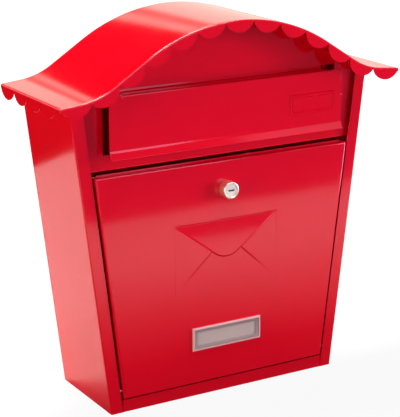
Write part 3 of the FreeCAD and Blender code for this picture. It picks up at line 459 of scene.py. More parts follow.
crown_end = Vector((0, 0, CROWN_UP)) + outwards(FLANK_ANGLE) * CROWN_RADIUS
flank_end = crown_end + along(FLANK_ANGLE) * FLANK_LENGTH
valley_centre = flank_end + outwards(FLANK_ANGLE) * VALLEY_RADIUS
valley_end = valley_centre - outwards(EAVE_ANGLE) * VALLEY_RADIUS
CROWN_RUN = CROWN_RADIUS * FLANK_ANGLE
VALLEY_RUN = VALLEY_RADIUS * (FLANK_ANGLE - EAVE_ANGLE)
EAVE_RUN = (HALF_ROOF - valley_end.x) / math.cos(EAVE_ANGLE)
HALF_RUN = CROWN_RUN + FLANK_LENGTH + VALLEY_RUN + EAVE_RUN


def roof_spot(run):
    """The place on the right half of the roof line, and its slope, at a run from the crown."""
    if run < CROWN_RUN:
        slope = run / CROWN_RADIUS
        return Vector((0, 0, CROWN_UP)) + outwards(slope) * CROWN_RADIUS, slope
    if run < CROWN_RUN + FLANK_LENGTH:
        return crown_end + along(FLANK_ANGLE) * (run - CROWN_RUN), FLANK_ANGLE
    if run < HALF_RUN - EAVE_RUN:
        slope = FLANK_ANGLE - (run - CROWN_RUN - FLANK_LENGTH) / VALLEY_RADIUS
        return valley_centre - outwards(slope) * VALLEY_RADIUS, slope
    return valley_end + along(EAVE_ANGLE) * (run - HALF_RUN + EAVE_RUN), EAVE_ANGLE


def roof_place(run, drop=0.0):
    """A place on the whole roof line, a drop below its top face and square to it."""
    spot, slope = roof_spot(abs(run))
    spot = spot - outwards(slope) * drop
    return Vector((math.copysign(spot.x, run), 0, spot.z))


print("roof sheet is", round(2 * HALF_RUN / MM, 1), "mm wide when flat")

# %% [markdown]
# The roof starts as a flat grid, the blank, and each of its vertices is carried to its place on
# the roof line. Its front and eave edges are then extruded down, each vertex by the depth of the
# scallop at its place, and the fold is bevelled. Every vertex remembers its run and its reach
# from the wall in two layers, which an extrusion copies, so that the tabs know where they are.

# %% Roof blank
FRONT_TABS, FRONT_TAB_DROP, FRONT_CUSP_DROP = 13, 12.8 * MM, 1.8 * MM
SIDE_TABS, SIDE_TAB_PITCH, SIDE_TAB_DROP, SIDE_CUSP_DROP = 4, 33.0 * MM, 14.0 * MM, 3.0 * MM
ROOF_FOLD = 1.5 * MM
STEPS_PER_FRONT_TAB, STEPS_PER_SIDE_TAB, PLAIN_STEPS = 16, 12, 4
ROOF_REACH = -roof_low.y

columns = FRONT_TABS * STEPS_PER_FRONT_TAB
rows = SIDE_TABS * STEPS_PER_SIDE_TAB + PLAIN_STEPS
roof = bmesh.new()
run_of = roof.verts.layers.float.new("run")
reach_of = roof.verts.layers.float.new("reach")
bmesh.ops.create_grid(roof, x_segments=columns, y_segments=rows, size=0.5)


def reach_at(row):
    """How far a row of the blank lies from the wall. The last rows are the plain stretch."""
    tabbed = SIDE_TABS * SIDE_TAB_PITCH
    if row <= SIDE_TABS * STEPS_PER_SIDE_TAB:
        return row / STEPS_PER_SIDE_TAB * SIDE_TAB_PITCH
    past = (row - SIDE_TABS * STEPS_PER_SIDE_TAB) / PLAIN_STEPS
    return tabbed + past * (ROOF_REACH - tabbed)


for vert in roof.verts:
    vert[run_of] = 2 * HALF_RUN * vert.co.x
    vert[reach_of] = reach_at(round((0.5 - vert.co.y) * rows))
    vert.co = roof_place(vert[run_of]) - Vector((0, vert[reach_of], 0))

# %% [markdown]
# A scalloped edge is a row of arcs that meet in cusps. The press cuts the tabs and folds them
# down in one stroke, so here each edge is extruded, and every new vertex goes down by the depth
# of the arc at its place. The corner tabs meet, and their common points are merged.

# %% Scallops
TOUCH = 0.01 * MM
STEEP = math.radians(60)
FACING, LEANING = 0.9, 0.5


def scallop(place, pitch, cusp, drop):
    """The depth of a scalloped edge, which is an arc from cusp to cusp in each pitch."""
    from_middle = (place / pitch) % 1.0 - 0.5
    height, half = drop - cusp, pitch / 2
    radius = (half ** 2 + height ** 2) / (2 * height)
    return drop - radius + math.sqrt(max(radius ** 2 - (2 * from_middle * half) ** 2, 0))


def is_near(a, b):
    return abs(a - b) < TOUCH


def only(kind, items):
    """The vertices or the edges among what an operator made."""
    return [item for item in items if isinstance(item, kind)]


def edges_where(bm, test):
    """The edges of which both ends pass a test."""
    return [edge for edge in bm.edges if all(test(vert) for vert in edge.verts)]


def bends(bm, angle=STEEP):
    """The edges in which two faces meet at more than an angle."""
    return [
        edge for edge in bm.edges
        if len(edge.link_faces) == 2 and edge.calc_face_angle() > angle
    ]


def extrude_edges(bm, edges):
    """Extrude edges in place, and return the new vertices to be moved."""
    return only(BMVert, bmesh.ops.extrude_edge_only(bm, edges=edges)["geom"])


def drop_front(vert):
    run = vert[run_of]
    if is_near(abs(run), HALF_RUN):
        vert.co.z -= SIDE_CUSP_DROP
        return
    depth = scallop(run + HALF_RUN, 2 * HALF_RUN / FRONT_TABS, FRONT_CUSP_DROP, FRONT_TAB_DROP)
    vert.co = roof_place(run, depth) - Vector((0, ROOF_REACH, 0))


def drop_side(vert):
    reach = vert[reach_of]
    past_tabs = reach > SIDE_TABS * SIDE_TAB_PITCH - TOUCH
    in_tab = scallop(reach, SIDE_TAB_PITCH, SIDE_CUSP_DROP, SIDE_TAB_DROP)
    vert.co.z -= SIDE_CUSP_DROP if past_tabs else in_tab


front_edges = edges_where(roof, lambda vert: is_near(vert[reach_of], ROOF_REACH))
side_edges = edges_where(roof, lambda vert: is_near(abs(vert[run_of]), HALF_RUN))
for vert in extrude_edges(roof, front_edges):
    drop_front(vert)
for vert in extrude_edges(roof, side_edges):
    drop_side(vert)
bmesh.ops.remove_doubles(roof, verts=roof.verts, dist=TOUCH)
rim = [edge for edge in bends(roof) if any(face.normal.z > LEANING for face in edge.link_faces)]
fold(roof, rim, ROOF_FOLD)
make_sheet("roof_sheet", roof, "box", ["roof"])

# %% [markdown]
# Lower sheets meet the underside of the roof. This gives the height of a curve parallel to the
# roof line at a place across, found by walking along the line until it is that far across.

# %% Under the roof
HALVINGS, ARCH_PASSES, ARCH_STEPS = 40, 20, 96


def height_under_roof(across, drop):
    low, high = 0.0, HALF_RUN
    for _ in range(HALVINGS):
        middle = (low + high) / 2
        if roof_place(middle, drop).x < abs(across):
            low = middle
        else:
            high = middle
    return roof_place(low, drop).z


SIDE_LEAN = math.tan(math.radians(6.73))
BOTTOM_HALF = 279.0 / 2 * MM
WALL_ACROSS = GAUGE * math.sqrt(1 + SIDE_LEAN ** 2)


def half_width(up, inset=0.0):
    """Half the body's outside width at a height, less an inset."""
    return BOTTOM_HALF + up * SIDE_LEAN - inset


def arch(inset, drop):
    """Points along the underside of the roof, from the right side of the body to the left one."""
    reach = half_width(0, inset)
    for _ in range(ARCH_PASSES):
        reach = half_width(height_under_roof(reach, drop), inset)
    places = [reach * (1 - 2 * i / ARCH_STEPS) for i in range(ARCH_STEPS + 1)]
    return [Vector((across, 0, height_under_roof(across, drop))) for across in places]


# %% [markdown]
# The other sheets start as one flat face that is pushed into a block. What isn't there on the
# real sheet is cut off by planes and deleted. These few operators serve all of them.

# %% Faces and cuts
ACROSS, DEEP, UP = Vector((1, 0, 0)), Vector((0, 1, 0)), Vector((0, 0, 1))
CUT_SNAP = 1e-7


def face_of(bm, points):
    return bm.faces.new([bm.verts.new(point) for point in points])


def extrude_faces(bm, faces, vector):
    """Push flat faces along a vector into a closed block."""
    grown = bmesh.ops.extrude_face_region(bm, geom=faces, use_keep_orig=True)["geom"]
    bmesh.ops.translate(bm, verts=only(BMVert, grown), vec=vector)
    bmesh.ops.recalc_face_normals(bm, faces=bm.faces)


def drop_faces(bm, faces):
    bmesh.ops.delete(bm, geom=list(faces), context="FACES")


def faces_in_plane(bm, point, normal):
    return [f for f in bm.faces if all(abs((v.co - point).dot(normal)) < TOUCH for v in f.verts)]


def faces_where(faces, test):
    """Those of some faces whose middle passes a test."""
    return [face for face in faces if test(face.calc_center_median())]


def nearest_face(bm, point):
    return min(bm.faces, key=lambda face: (face.calc_center_median() - point).length)


def cut_faces(bm, faces, point, normal):
    """Cut some faces by a plane, and keep both halves."""
    geometry = set(faces)
    for face in faces:
        geometry.update(face.edges)
        geometry.update(face.verts)
    bmesh.ops.bisect_plane(bm, geom=list(geometry), dist=CUT_SNAP, plane_co=point, plane_no=normal)


def cut_through(bm, direction, distances):
    """Cut a whole mesh square to a direction, at some distances along it."""
    for distance in distances:
        cut_faces(bm, bm.faces[:], direction * distance, direction)


def cut_flat(bm, point, normal, direction, distances):
    """The same for the faces that lie in one plane, which a point in it and its normal give."""
    for distance in distances:
        cut_faces(bm, faces_in_plane(bm, point, normal), direction * distance, direction)


# %% [markdown]
# The body is one folded sheet: a back, two leaning sides, and a narrow flange down each side of
# the front. It is made as a block with the roof's arch on top. The faces that aren't there on the
# real box are deleted, the tall corners are folded, and the sheet gets its gauge. Four wall holes
# are punched in the back: a small square is cut out of it and its inside edge is pushed to a
# circle.

# %% Body shell
DEPTH = -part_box("body_shell")[0].y
FLANGE = 14.0 * MM
HOLE_RADIUS = 4.0 * MM
HOLE_ACROSS, HOLE_LOW, HOLE_HIGH = 100 * MM, 70 * MM, 290 * MM
PUNCH_MARGIN, PUNCH_RING = 1.3, 1 / 8
PUNCH_CUTS = 7


def face_holding(bm, point, normal):
    """The flat face that a point lies in."""
    flat = faces_in_plane(bm, point, normal)
    return [face for face in flat if bmesh.geometry.intersect_face_point(face, point)]


def punch(bm, centre, radius, first, second):
    """Punch a round hole in a flat face, given the face's two directions."""
    for direction in (first, second):
        for sign in (-1, 1):
            held = face_holding(bm, centre, first.cross(second))
            cut_faces(bm, held, centre + direction * sign * PUNCH_MARGIN * radius, direction)
    square = nearest_face(bm, centre)
    bmesh.ops.bisect_edges(bm, edges=square.edges, cuts=PUNCH_CUTS)
    bmesh.ops.inset_region(bm, faces=[square], thickness=radius * PUNCH_RING, use_even_offset=True)
    square = nearest_face(bm, centre)
    for vert in square.verts:
        vert.co = centre + (vert.co - centre).normalized() * radius
    drop_faces(bm, [square])


shell = bmesh.new()
outline = [(-BOTTOM_HALF, 0, 0), (BOTTOM_HALF, 0, 0), *arch(0.0, GAUGE)]
extrude_faces(shell, [face_of(shell, outline)], (0, -DEPTH, 0))
for side in (-1, 1):
    cut_faces(shell, shell.faces[:], (side * (BOTTOM_HALF - FLANGE), 0, 0), (side, 0, -SIDE_LEAN))
open_faces = [
    face for face in shell.faces
    if face.normal.z < -FACING or face.normal.z > LEANING
    or (face.normal.y < -FACING and abs(face.calc_center_median().x) < BOTTOM_HALF - FLANGE)
]
drop_faces(shell, open_faces)
fold(shell, bends(shell))
for across in (-HOLE_ACROSS, HOLE_ACROSS):
    for up in (HOLE_LOW, HOLE_HIGH):
        punch(shell, Vector((across, 0, up)), HOLE_RADIUS, ACROSS, UP)
make_sheet("body_sheet", shell, "box", ["body_shell"])

# %% [markdown]
# The floor is a shallow pan. Its bottom is turned up against the back and both sides, and in
# front it is turned up between the body's flanges, level with them. The bottom is drawn first,
# and each wall is an edge of it that is extruded up, so all of them stay one sheet.

# %% Floor pan
pan_low, pan_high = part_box("floor_pan")
SEAT_GAP = 0.1 * MM
FRONT_HALF = BOTTOM_HALF - FLANGE - SEAT_GAP
PAN_FOLD = 0.9 * MM
LEAN_RIM = GAUGE * SIDE_LEAN
inside_half = BOTTOM_HALF - WALL_ACROSS
pan_front = pan_low.y + GAUGE


def face_towards(bm, face, direction):
    """Turn a whole surface over if one of its faces looks the wrong way."""
    bmesh.ops.recalc_face_normals(bm, faces=bm.faces)
    if face.normal.dot(direction) < 0:
        bmesh.ops.reverse_faces(bm, faces=bm.faces)


def lowest_face(bm):
    return min(bm.faces, key=lambda face: face.calc_center_median().z)


pan = bmesh.new()
face_of(pan, [
    (-inside_half, pan_high.y, 0), (inside_half, pan_high.y, 0),
    (inside_half, pan_front, 0), (-inside_half, pan_front, 0),
])
cut_through(pan, ACROSS, (-FRONT_HALF, FRONT_HALF))
walls = [
    edge for edge in pan.edges
    if len(edge.link_faces) == 1 and not all(is_near(v.co.y, pan_front) for v in edge.verts)
]
for vert in extrude_edges(pan, walls):
    vert.co.z = pan_high.z - LEAN_RIM
    if is_near(abs(vert.co.x), inside_half):
        vert.co.x += math.copysign(pan_high.z * SIDE_LEAN, vert.co.x)
front = edges_where(pan, lambda v: is_near(v.co.y, pan_front) and is_near(abs(v.co.x), FRONT_HALF))
for step in (-DEEP * GAUGE, UP * pan_high.z):
    grown = bmesh.ops.extrude_edge_only(pan, edges=front)["geom"]
    front = only(BMEdge, grown)
    bmesh.ops.translate(pan, verts=only(BMVert, grown), vec=step)
face_towards(pan, lowest_face(pan), -UP)
fold(pan, bends(pan), PAN_FOLD, 3)
make_sheet("floor_sheet", pan, "box", ["floor_pan"])

# %% [markdown]
# Behind the flanges stands the front panel, with the gable above the letter slot and the fascia
# round it. Its edges are turned back under the roof, at the sides and below. The slot is cut with
# four planes, which is quicker and cleaner than a boolean.

# %% Front panel
panel_low, panel_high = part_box("front_panel")
SLOT_HALF, SLOT_BOTTOM, SLOT_TOP = 140.5 * MM, 280.5 * MM, 346.3 * MM
PANEL_FOLD = 1.5 * MM

panel = bmesh.new()
corner = half_width(panel_low.z, WALL_ACROSS)
outline = [(-corner, 0, panel_low.z), (corner, 0, panel_low.z), *arch(WALL_ACROSS, GAUGE)]
plate = face_of(panel, outline)
bmesh.ops.translate(panel, verts=panel.verts, vec=(0, panel_low.y, 0))
turned_back = extrude_edges(panel, panel.edges[:])
bmesh.ops.translate(panel, verts=turned_back, vec=(0, panel_high.y - panel_low.y, 0))
face_towards(panel, plate, -DEEP)
in_front = edges_where(panel, lambda vert: is_near(vert.co.y, panel_low.y))
fold(panel, [edge for edge in bends(panel) if edge in in_front], PANEL_FOLD, 3)
cut_through(panel, ACROSS, (-SLOT_HALF, SLOT_HALF))
cut_through(panel, UP, (SLOT_BOTTOM, SLOT_TOP))
drop_faces(panel, faces_where(
    panel.faces, lambda at: abs(at.x) < SLOT_HALF and SLOT_BOTTOM < at.z < SLOT_TOP,
))
make_sheet("front_panel_sheet", panel, "box", ["front_panel"])

# %% [markdown]
# The mail flap is a folded strip. Its profile is drawn once, from the stop lip that hooks in
# behind the panel, over the top flange, down the plate and out along the finger lip, and is then
# extruded across. The flange is narrower than the plate, so its ends are deleted, with a relief
# notch beside each end of the bend as sheet metal needs. Two ears are turned down from it to take
# the rod.

# %% Mail flap
flap_low, flap_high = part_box("mail_flap")
FLAP_TOP, FLAP_BEND, FLAP_FACE = 343.1 * MM, 286.3 * MM, -124.3 * MM
FLANGE_HALF = 124.0 * MM
EAR_BOTTOM = 335.0 * MM
EAR_REAR, EAR_FRONT = -115.6 * MM, -122.5 * MM
BEND_ROUND = 1.6 * MM
RELIEF = 1.0 * MM
RELIEF_HALF = FLANGE_HALF + RELIEF
RELIEF_LOW = FLAP_TOP - BEND_ROUND - RELIEF
GENTLE, LEVEL = 0.1, math.radians(0.5)

flap = bmesh.new()
profile = [
    (flap_high.y - GAUGE, flap_high.z), (flap_high.y - GAUGE, FLAP_TOP), (FLAP_FACE, FLAP_TOP),
    (FLAP_FACE, FLAP_BEND), (flap_low.y, flap_low.z),
]
verts = [flap.verts.new((flap_low.x, y, z)) for y, z in profile]
edges = [flap.edges.new(pair) for pair in zip(verts, verts[1:])]
for station in (-RELIEF_HALF, -FLANGE_HALF, FLANGE_HALF, RELIEF_HALF, flap_high.x):
    grown = bmesh.ops.extrude_edge_only(flap, edges=edges)["geom"]
    edges = only(BMEdge, grown)
    for vert in only(BMVert, grown):
        vert.co.x = station
face_towards(flap, lowest_face(flap), -DEEP)
drop_faces(flap, faces_where(
    flap.faces, lambda at: abs(at.x) > FLANGE_HALF and at.z > FLAP_TOP - GAUGE,
))
cut_through(flap, UP, [RELIEF_LOW])
drop_faces(flap, faces_where(
    flap.faces, lambda at: FLANGE_HALF < abs(at.x) < RELIEF_HALF and at.z > RELIEF_LOW,
))
cut_flat(flap, UP * FLAP_TOP, UP, DEEP, (EAR_REAR, EAR_FRONT))
ear_edges = [
    edge for edge in flap.edges
    if len(edge.link_faces) == 1
    and all(is_near(abs(v.co.x), FLANGE_HALF) and is_near(v.co.z, FLAP_TOP) for v in edge.verts)
    and EAR_FRONT < (edge.verts[0].co.y + edge.verts[1].co.y) / 2 < EAR_REAR
]
for vert in extrude_edges(flap, ear_edges):
    vert.co.z = EAR_BOTTOM
fold(flap, bends(flap, GENTLE), BEND_ROUND)
bmesh.ops.dissolve_limit(flap, angle_limit=LEVEL, verts=flap.verts, edges=flap.edges)

# %% [markdown]
# Near the right end of the flap the press leaves a plain rectangular border, 57 by 21.5 mm. It is
# cut out of the plate by four planes, then inset in steps, and each step is moved forwards or
# back.

# %% Pressed border
BORDER_LEFT, BORDER_RIGHT, BORDER_LOW, BORDER_HIGH = 74.0 * MM, 131.0 * MM, 299.5 * MM, 321.0 * MM
BORDER_STEPS_MM = [(0.7, 0.8), (1.0, 0.0), (0.7, -0.7), (1.0, 0.0), (0.6, 0.5)]
border_middle = Vector((BORDER_LEFT + BORDER_RIGHT, 2 * FLAP_FACE, BORDER_LOW + BORDER_HIGH)) / 2

for direction, places in ((ACROSS, (BORDER_LEFT, BORDER_RIGHT)), (UP, (BORDER_LOW, BORDER_HIGH))):
    for place in places:
        cut_faces(flap, face_holding(flap, border_middle, DEEP), direction * place, direction)
field = nearest_face(flap, border_middle)
for width, rise in BORDER_STEPS_MM:
    bmesh.ops.inset_region(flap, faces=[field], thickness=width * MM, use_even_offset=True)
    bmesh.ops.translate(flap, verts=field.verts, vec=-DEEP * rise * MM)
print("border is", round((BORDER_RIGHT - BORDER_LEFT) / MM), "mm wide")
make_sheet("flap_sheet", flap, "flap", ["mail_flap"])

# %% [markdown]
# The door is a shallow tray with a tapered outline. The block is made as before, its back is
# deleted, and its front edges are folded.

# %% Door tray
door_low, door_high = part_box("door")
DOOR_FACE = -117.5 * MM
DOOR_TOP = 259.3 * MM
DOOR_BACK = door_high.y
DOOR_GAP = 2.7 * MM
DOOR_INSET = FLANGE + DOOR_GAP

door = bmesh.new()
low_half, high_half = half_width(door_low.z, DOOR_INSET), half_width(DOOR_TOP, DOOR_INSET)
outline = [
    (-low_half, DOOR_BACK, door_low.z), (low_half, DOOR_BACK, door_low.z),
    (high_half, DOOR_BACK, DOOR_TOP), (-high_half, DOOR_BACK, DOOR_TOP),
]
extrude_faces(door, [face_of(door, outline)], (0, DOOR_FACE - DOOR_BACK, 0))
drop_faces(door, [face for face in door.faces if face.normal.y > FACING])
fold(door, edges_where(door, lambda vert: is_near(vert.co.y, DOOR_FACE)))

# %% [markdown]
# An envelope is pressed into the door's plate. Its top flap and its two side folds are planes
# that lean: each starts a little below the plate and comes forwards to a step. The side folds
# start higher than the flap, so that their lower edges stand proud of the plate nearly to the
# corners. These functions give the height of the press tool at any place, with its steps rounded
# as a tool's are.

# %% Envelope figure
ENVELOPE_HALF, ENVELOPE_LOW, ENVELOPE_TALL = 62.5 * MM, 120.5 * MM, 74.5 * MM
ENVELOPE_TOP = ENVELOPE_LOW + ENVELOPE_TALL
POINT_DROP, POINT_RADIUS = 46.8 * MM, 23.0 * MM
SIDE_FOLD_SLOPE = math.tan(math.radians(42.5))
FLAP_SLOPE = POINT_DROP / ENVELOPE_HALF
FOLD_REACH = ENVELOPE_TALL / (SIDE_FOLD_SLOPE + FLAP_SLOPE)
PRESS_SINK, FLAP_RISE = 0.6 * MM, 1.1 * MM
FOLD_SINK, FOLD_RISE = 0.25 * MM, 0.9 * MM
STEP_ROUND = 1.8 * MM


def inside_flap(x, z):
    """How far a place lies inside the top flap, with its rounded point. Negative is outside."""
    steep = math.atan(FLAP_SLOPE)
    above_edge = (ENVELOPE_HALF - abs(x)) * FLAP_SLOPE - (ENVELOPE_TOP - z)
    from_edge = above_edge * math.cos(steep)
    below_centre = ENVELOPE_TOP - POINT_DROP + POINT_RADIUS / math.cos(steep) - z
    if below_centre > 0 and abs(x) < below_centre * math.tan(steep):
        from_edge = POINT_RADIUS - math.hypot(x, below_centre)
    return min(from_edge, ENVELOPE_TOP - z)


def inside_fold(x, z):
    """How far a place lies inside a side fold, below the top flap."""
    inwards = ENVELOPE_HALF - abs(x)
    above_edge = (z - ENVELOPE_LOW) - inwards * SIDE_FOLD_SLOPE
    from_edge = above_edge * math.cos(math.atan(SIDE_FOLD_SLOPE))
    return min(inwards, from_edge, ENVELOPE_TOP - z)


def ease(distance):
    """Zero outside, one inside, with a rounded step between."""
    t = min(max(distance / STEP_ROUND + 0.5, 0), 1)
    return t * t * (3 - 2 * t)


def press_height(x, z):
    """How far the press tool moves a place of the plate forwards."""
    flap_height = -PRESS_SINK + (PRESS_SINK + FLAP_RISE) * (ENVELOPE_TOP - z) / POINT_DROP
    fold_height = -FOLD_SINK + (FOLD_SINK + FOLD_RISE) * (ENVELOPE_HALF - abs(x)) / FOLD_REACH
    on_flap = ease(inside_flap(x, z))
    on_fold = ease(inside_fold(x, z)) * (1 - on_flap)
    return on_flap * flap_height + on_fold * fold_height


# %% [markdown]
# The plate gets a grid of small cells where the pressing is, and cells a quarter of that size
# along the steps, as the tool has its detail there. Every vertex of it then moves by the tool's
# height.

# %% Pressing the envelope
PRESS_MARGIN = 3.0 * MM
PRESS_CELL, CREASE_CUTS = 1.5 * MM, 3
CREASE_BAND = 1.7 * MM
PRESS_HALF = ENVELOPE_HALF + PRESS_MARGIN
PRESS_BOTTOM, PRESS_TOP = ENVELOPE_LOW - PRESS_MARGIN, ENVELOPE_TOP + PRESS_MARGIN
PLATE_MIDDLE = Vector((0, DOOR_FACE, (PRESS_BOTTOM + PRESS_TOP) / 2))


def in_pressing(at):
    return abs(at.x) < PRESS_HALF and PRESS_BOTTOM < at.z < PRESS_TOP


def in_press_rows(up):
    return PRESS_BOTTOM - TOUCH < up < PRESS_TOP + TOUCH


def near_crease(face):
    """Whether a square cell of the plate lies along a step of the pressing."""
    at = face.calc_center_median()
    from_steps = min(abs(inside_flap(at.x, at.z)), abs(inside_fold(at.x, at.z)))
    return len(face.verts) == 4 and in_pressing(at) and from_steps < CREASE_BAND


def split_edges(bm, edges, cuts):
    bmesh.ops.subdivide_edges(bm, edges=edges, cuts=cuts, use_grid_fill=True)


cut_flat(door, PLATE_MIDDLE, DEEP, ACROSS, (-PRESS_HALF, PRESS_HALF))
cut_flat(door, PLATE_MIDDLE, DEEP, UP, (PRESS_BOTTOM, PRESS_TOP))
pressed = nearest_face(door, PLATE_MIDDLE)
upright = [e for e in pressed.edges if is_near(e.verts[0].co.x, e.verts[1].co.x)]
split_edges(door, upright, round((PRESS_TOP - PRESS_BOTTOM) / PRESS_CELL) - 1)
level = [
    e for e in edges_where(door, lambda v: is_near(v.co.y, DOOR_FACE) and in_press_rows(v.co.z))
    if is_near(e.verts[0].co.z, e.verts[1].co.z) and is_near(e.calc_length(), 2 * PRESS_HALF)
]
split_edges(door, level, round(2 * PRESS_HALF / PRESS_CELL) - 1)
plate_faces = faces_in_plane(door, PLATE_MIDDLE, DEEP)
creased = {edge for face in plate_faces if near_crease(face) for edge in face.edges}
split_edges(door, list(creased), CREASE_CUTS)
for vert in door.verts:
    if is_near(vert.co.y, DOOR_FACE) and in_pressing(vert.co):
        vert.co.y -= press_height(vert.co.x, vert.co.z)
print("door sheet has", len(door.faces), "faces, and its point stands", FLAP_RISE / MM, "mm proud")

# %% [markdown]
# The door also has a lip that is turned up behind its top flange, with a relief notch beside each
# end, a hole for the lock, two for the name holder's studs, and one in each side for its hinge
# pin.

# %% Door lip and holes
LOCK_UP, LOCK_HOLE = 228.3 * MM, 8.2 * MM
HINGE_UP, HINGE_Y, PIN_HOLE = 24.0 * MM, -112.2 * MM, 1.7 * MM
name_low, name_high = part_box("name_frame")
STUD_ACROSS = 40.4 * MM
STUD_HOLE = 1.4 * MM
LIP_END, LIP_NOTCH, LIP_BEND = 4.0 * MM, 1.0 * MM, 0.6 * MM
SLIVER_AREA, SLIVER_PASSES = 0.02 * MM * MM, 4
name_up = (name_low.z + name_high.z) / 2
lip_half = high_half - LIP_END
notch_half = lip_half + LIP_NOTCH
lip_front = DOOR_BACK - GAUGE


def merge_slivers(bm):
    """Join the faces without area that a cut can leave along a fine border to their neighbours."""
    for _ in range(SLIVER_PASSES):
        thin = [face for face in bm.faces if face.calc_area() < SLIVER_AREA]
        longest = {max(face.edges, key=lambda edge: edge.calc_length()) for face in thin}
        bmesh.ops.dissolve_edges(bm, edges=list(longest), use_verts=False)


top = UP * DOOR_TOP
cut_flat(door, top, UP, ACROSS, (-notch_half, -lip_half, lip_half, notch_half))
cut_flat(door, top, UP, DEEP, [lip_front])
behind = faces_where(
    faces_in_plane(door, top, UP), lambda at: at.y > lip_front and abs(at.x) < notch_half,
)
lip_edges = list({
    edge for face in behind for edge in face.edges
    if all(is_near(v.co.y, lip_front) and abs(v.co.x) < lip_half + TOUCH for v in edge.verts)
})
drop_faces(door, behind)
for vert in extrude_edges(door, lip_edges):
    vert.co.z = door_high.z
fold(door, lip_edges, LIP_BEND, 3)
punch(door, Vector((0, DOOR_FACE, LOCK_UP)), LOCK_HOLE, ACROSS, UP)
for side in (-1, 1):
    punch(door, Vector((side * STUD_ACROSS, DOOR_FACE, name_up)), STUD_HOLE, ACROSS, UP)
    lean = Vector((side * SIDE_LEAN, 0, 1)).normalized()
    hinge = Vector((side * half_width(HINGE_UP, DOOR_INSET), HINGE_Y, HINGE_UP))
    punch(door, hinge, PIN_HOLE, DEEP, lean)
merge_slivers(door)
make_sheet("door_sheet", door, "door_leaf", ["door"])

# %% [markdown]
# Turned pieces are spun from half a profile, as a lathe makes them. A profile is a list of radius
# and distance along the axis. The axis points into the wall, or else a piece gives its own.

# %% Turned pieces
LATHE_STEPS = 64
LATHE_MERGE = 0.001 * MM
CHAMFER = 0.3 * MM


def spin_profile(bm, profile, centre, axis=DEEP, radial=ACROSS, steps=LATHE_STEPS):
    """Spin a profile about an axis through a centre. Ends on the axis are closed by merging."""
    centre = Vector(centre)
    verts = [bm.verts.new(centre + radial * r + axis * d) for r, d in profile]
    edges = [bm.edges.new(pair) for pair in zip(verts, verts[1:])]
    bmesh.ops.spin(
        bm, geom=verts + edges, cent=centre, axis=axis, angle=2 * math.pi, steps=steps,
        use_merge=True,
    )
    bmesh.ops.remove_doubles(bm, verts=bm.verts, dist=LATHE_MERGE)
    bmesh.ops.recalc_face_normals(bm, faces=bm.faces)


# %% [markdown]
# The flap turns on a plain rod with chamfered ends. The door turns on two headed pins, fast in
# their lugs, whose heads keep the door's side flanges from sliding off.

# %% Rod and pins
HANDS = [(-1, "left"), (1, "right")]
ROD = 1.5 * MM
PIN_HEAD, PIN_HEAD_LONG = 2.6 * MM, 1.5 * MM
ROD_STEPS = 32

rod_low, rod_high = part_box("flap_rod")
rod_middle = (rod_low + rod_high) / 2
rod_half = rod_high.x
rod = bmesh.new()
profile = [
    (0.0, -rod_half), (ROD - CHAMFER, -rod_half), (ROD, CHAMFER - rod_half),
    (ROD, rod_half - CHAMFER), (ROD - CHAMFER, rod_half), (0.0, rod_half),
]
spin_profile(rod, profile, rod_middle, ACROSS, UP, ROD_STEPS)
make_piece("flap_rod_bar", rod, "box", zinc, ["flap_rod"], edge_round=0)
for side, hand in HANDS:
    pin_low, pin_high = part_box(f"door_pin_{hand}")
    long = pin_high.x - pin_low.x
    head_at = pin_low.x if side > 0 else pin_high.x
    profile = [
        (0.0, 0.0), (PIN_HEAD - 0.8 * MM, 0.1 * MM), (PIN_HEAD - 0.2 * MM, 0.5 * MM),
        (PIN_HEAD, 0.8 * MM), (PIN_HEAD, PIN_HEAD_LONG), (ROD, PIN_HEAD_LONG),
        (ROD, long - CHAMFER), (ROD - CHAMFER, long), (0.0, long),
    ]
    pin = bmesh.new()
    spin_profile(pin, profile, (head_at, HINGE_Y, HINGE_UP), ACROSS * side, UP, ROD_STEPS)
    make_piece(f"hinge_pin_{hand}", pin, "box", zinc, [f"door_pin_{hand}"], edge_round=0)

# %% [markdown]
# Each pin stands in an angle lug. A lug is thicker sheet with one bend, painted with the box: a
# plate is drawn, one of its edges is extruded to make the foot, the edge between them is folded,
# and a hole is punched.

# %% Door lugs
LUG_GAUGE, LUG_BEND = 2.0 * MM, 2.4 * MM
TIGHT_ROUND = 0.08 * MM


def inner_outer(side, low, high):
    """The places across of a piece's inner and outer face, on the left or the right of the box."""
    return (low.x, high.x) if side > 0 else (high.x, low.x)


for side, hand in HANDS:
    lug_low, lug_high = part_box(f"door_lug_{hand}")
    inner, outer = inner_outer(side, lug_low, lug_high)
    lug = bmesh.new()
    plate = face_of(lug, [
        (inner, lug_low.y, lug_low.z), (inner, lug_high.y, lug_low.z),
        (inner, lug_high.y, lug_high.z), (inner, lug_low.y, lug_high.z),
    ])
    bend = edges_where(lug, lambda vert: is_near(vert.co.z, lug_low.z))
    for vert in extrude_edges(lug, bend):
        vert.co.x = outer
    face_towards(lug, plate, -ACROSS * side)
    fold(lug, bend, LUG_BEND)
    punch(lug, Vector((inner, HINGE_Y, HINGE_UP)), ROD, DEEP, UP)
    make_sheet(f"pin_lug_{hand}", lug, "box", [f"door_lug_{hand}"], LUG_GAUGE, TIGHT_ROUND)

# %% [markdown]
# The ends of the flap's rod stand in two angle brackets, welded behind the front panel beside the
# slot. A bracket's outline is a half circle round the rod and a straight rear, and its foot is
# bent inwards.

# %% Flap brackets
BRACKET_GAUGE, BRACKET_BEND = 1.5 * MM, 1.4 * MM
EYE, EYE_STEPS = 2.4 * MM, 12
BRACKET_FOOT_TALL = 11.0 * MM

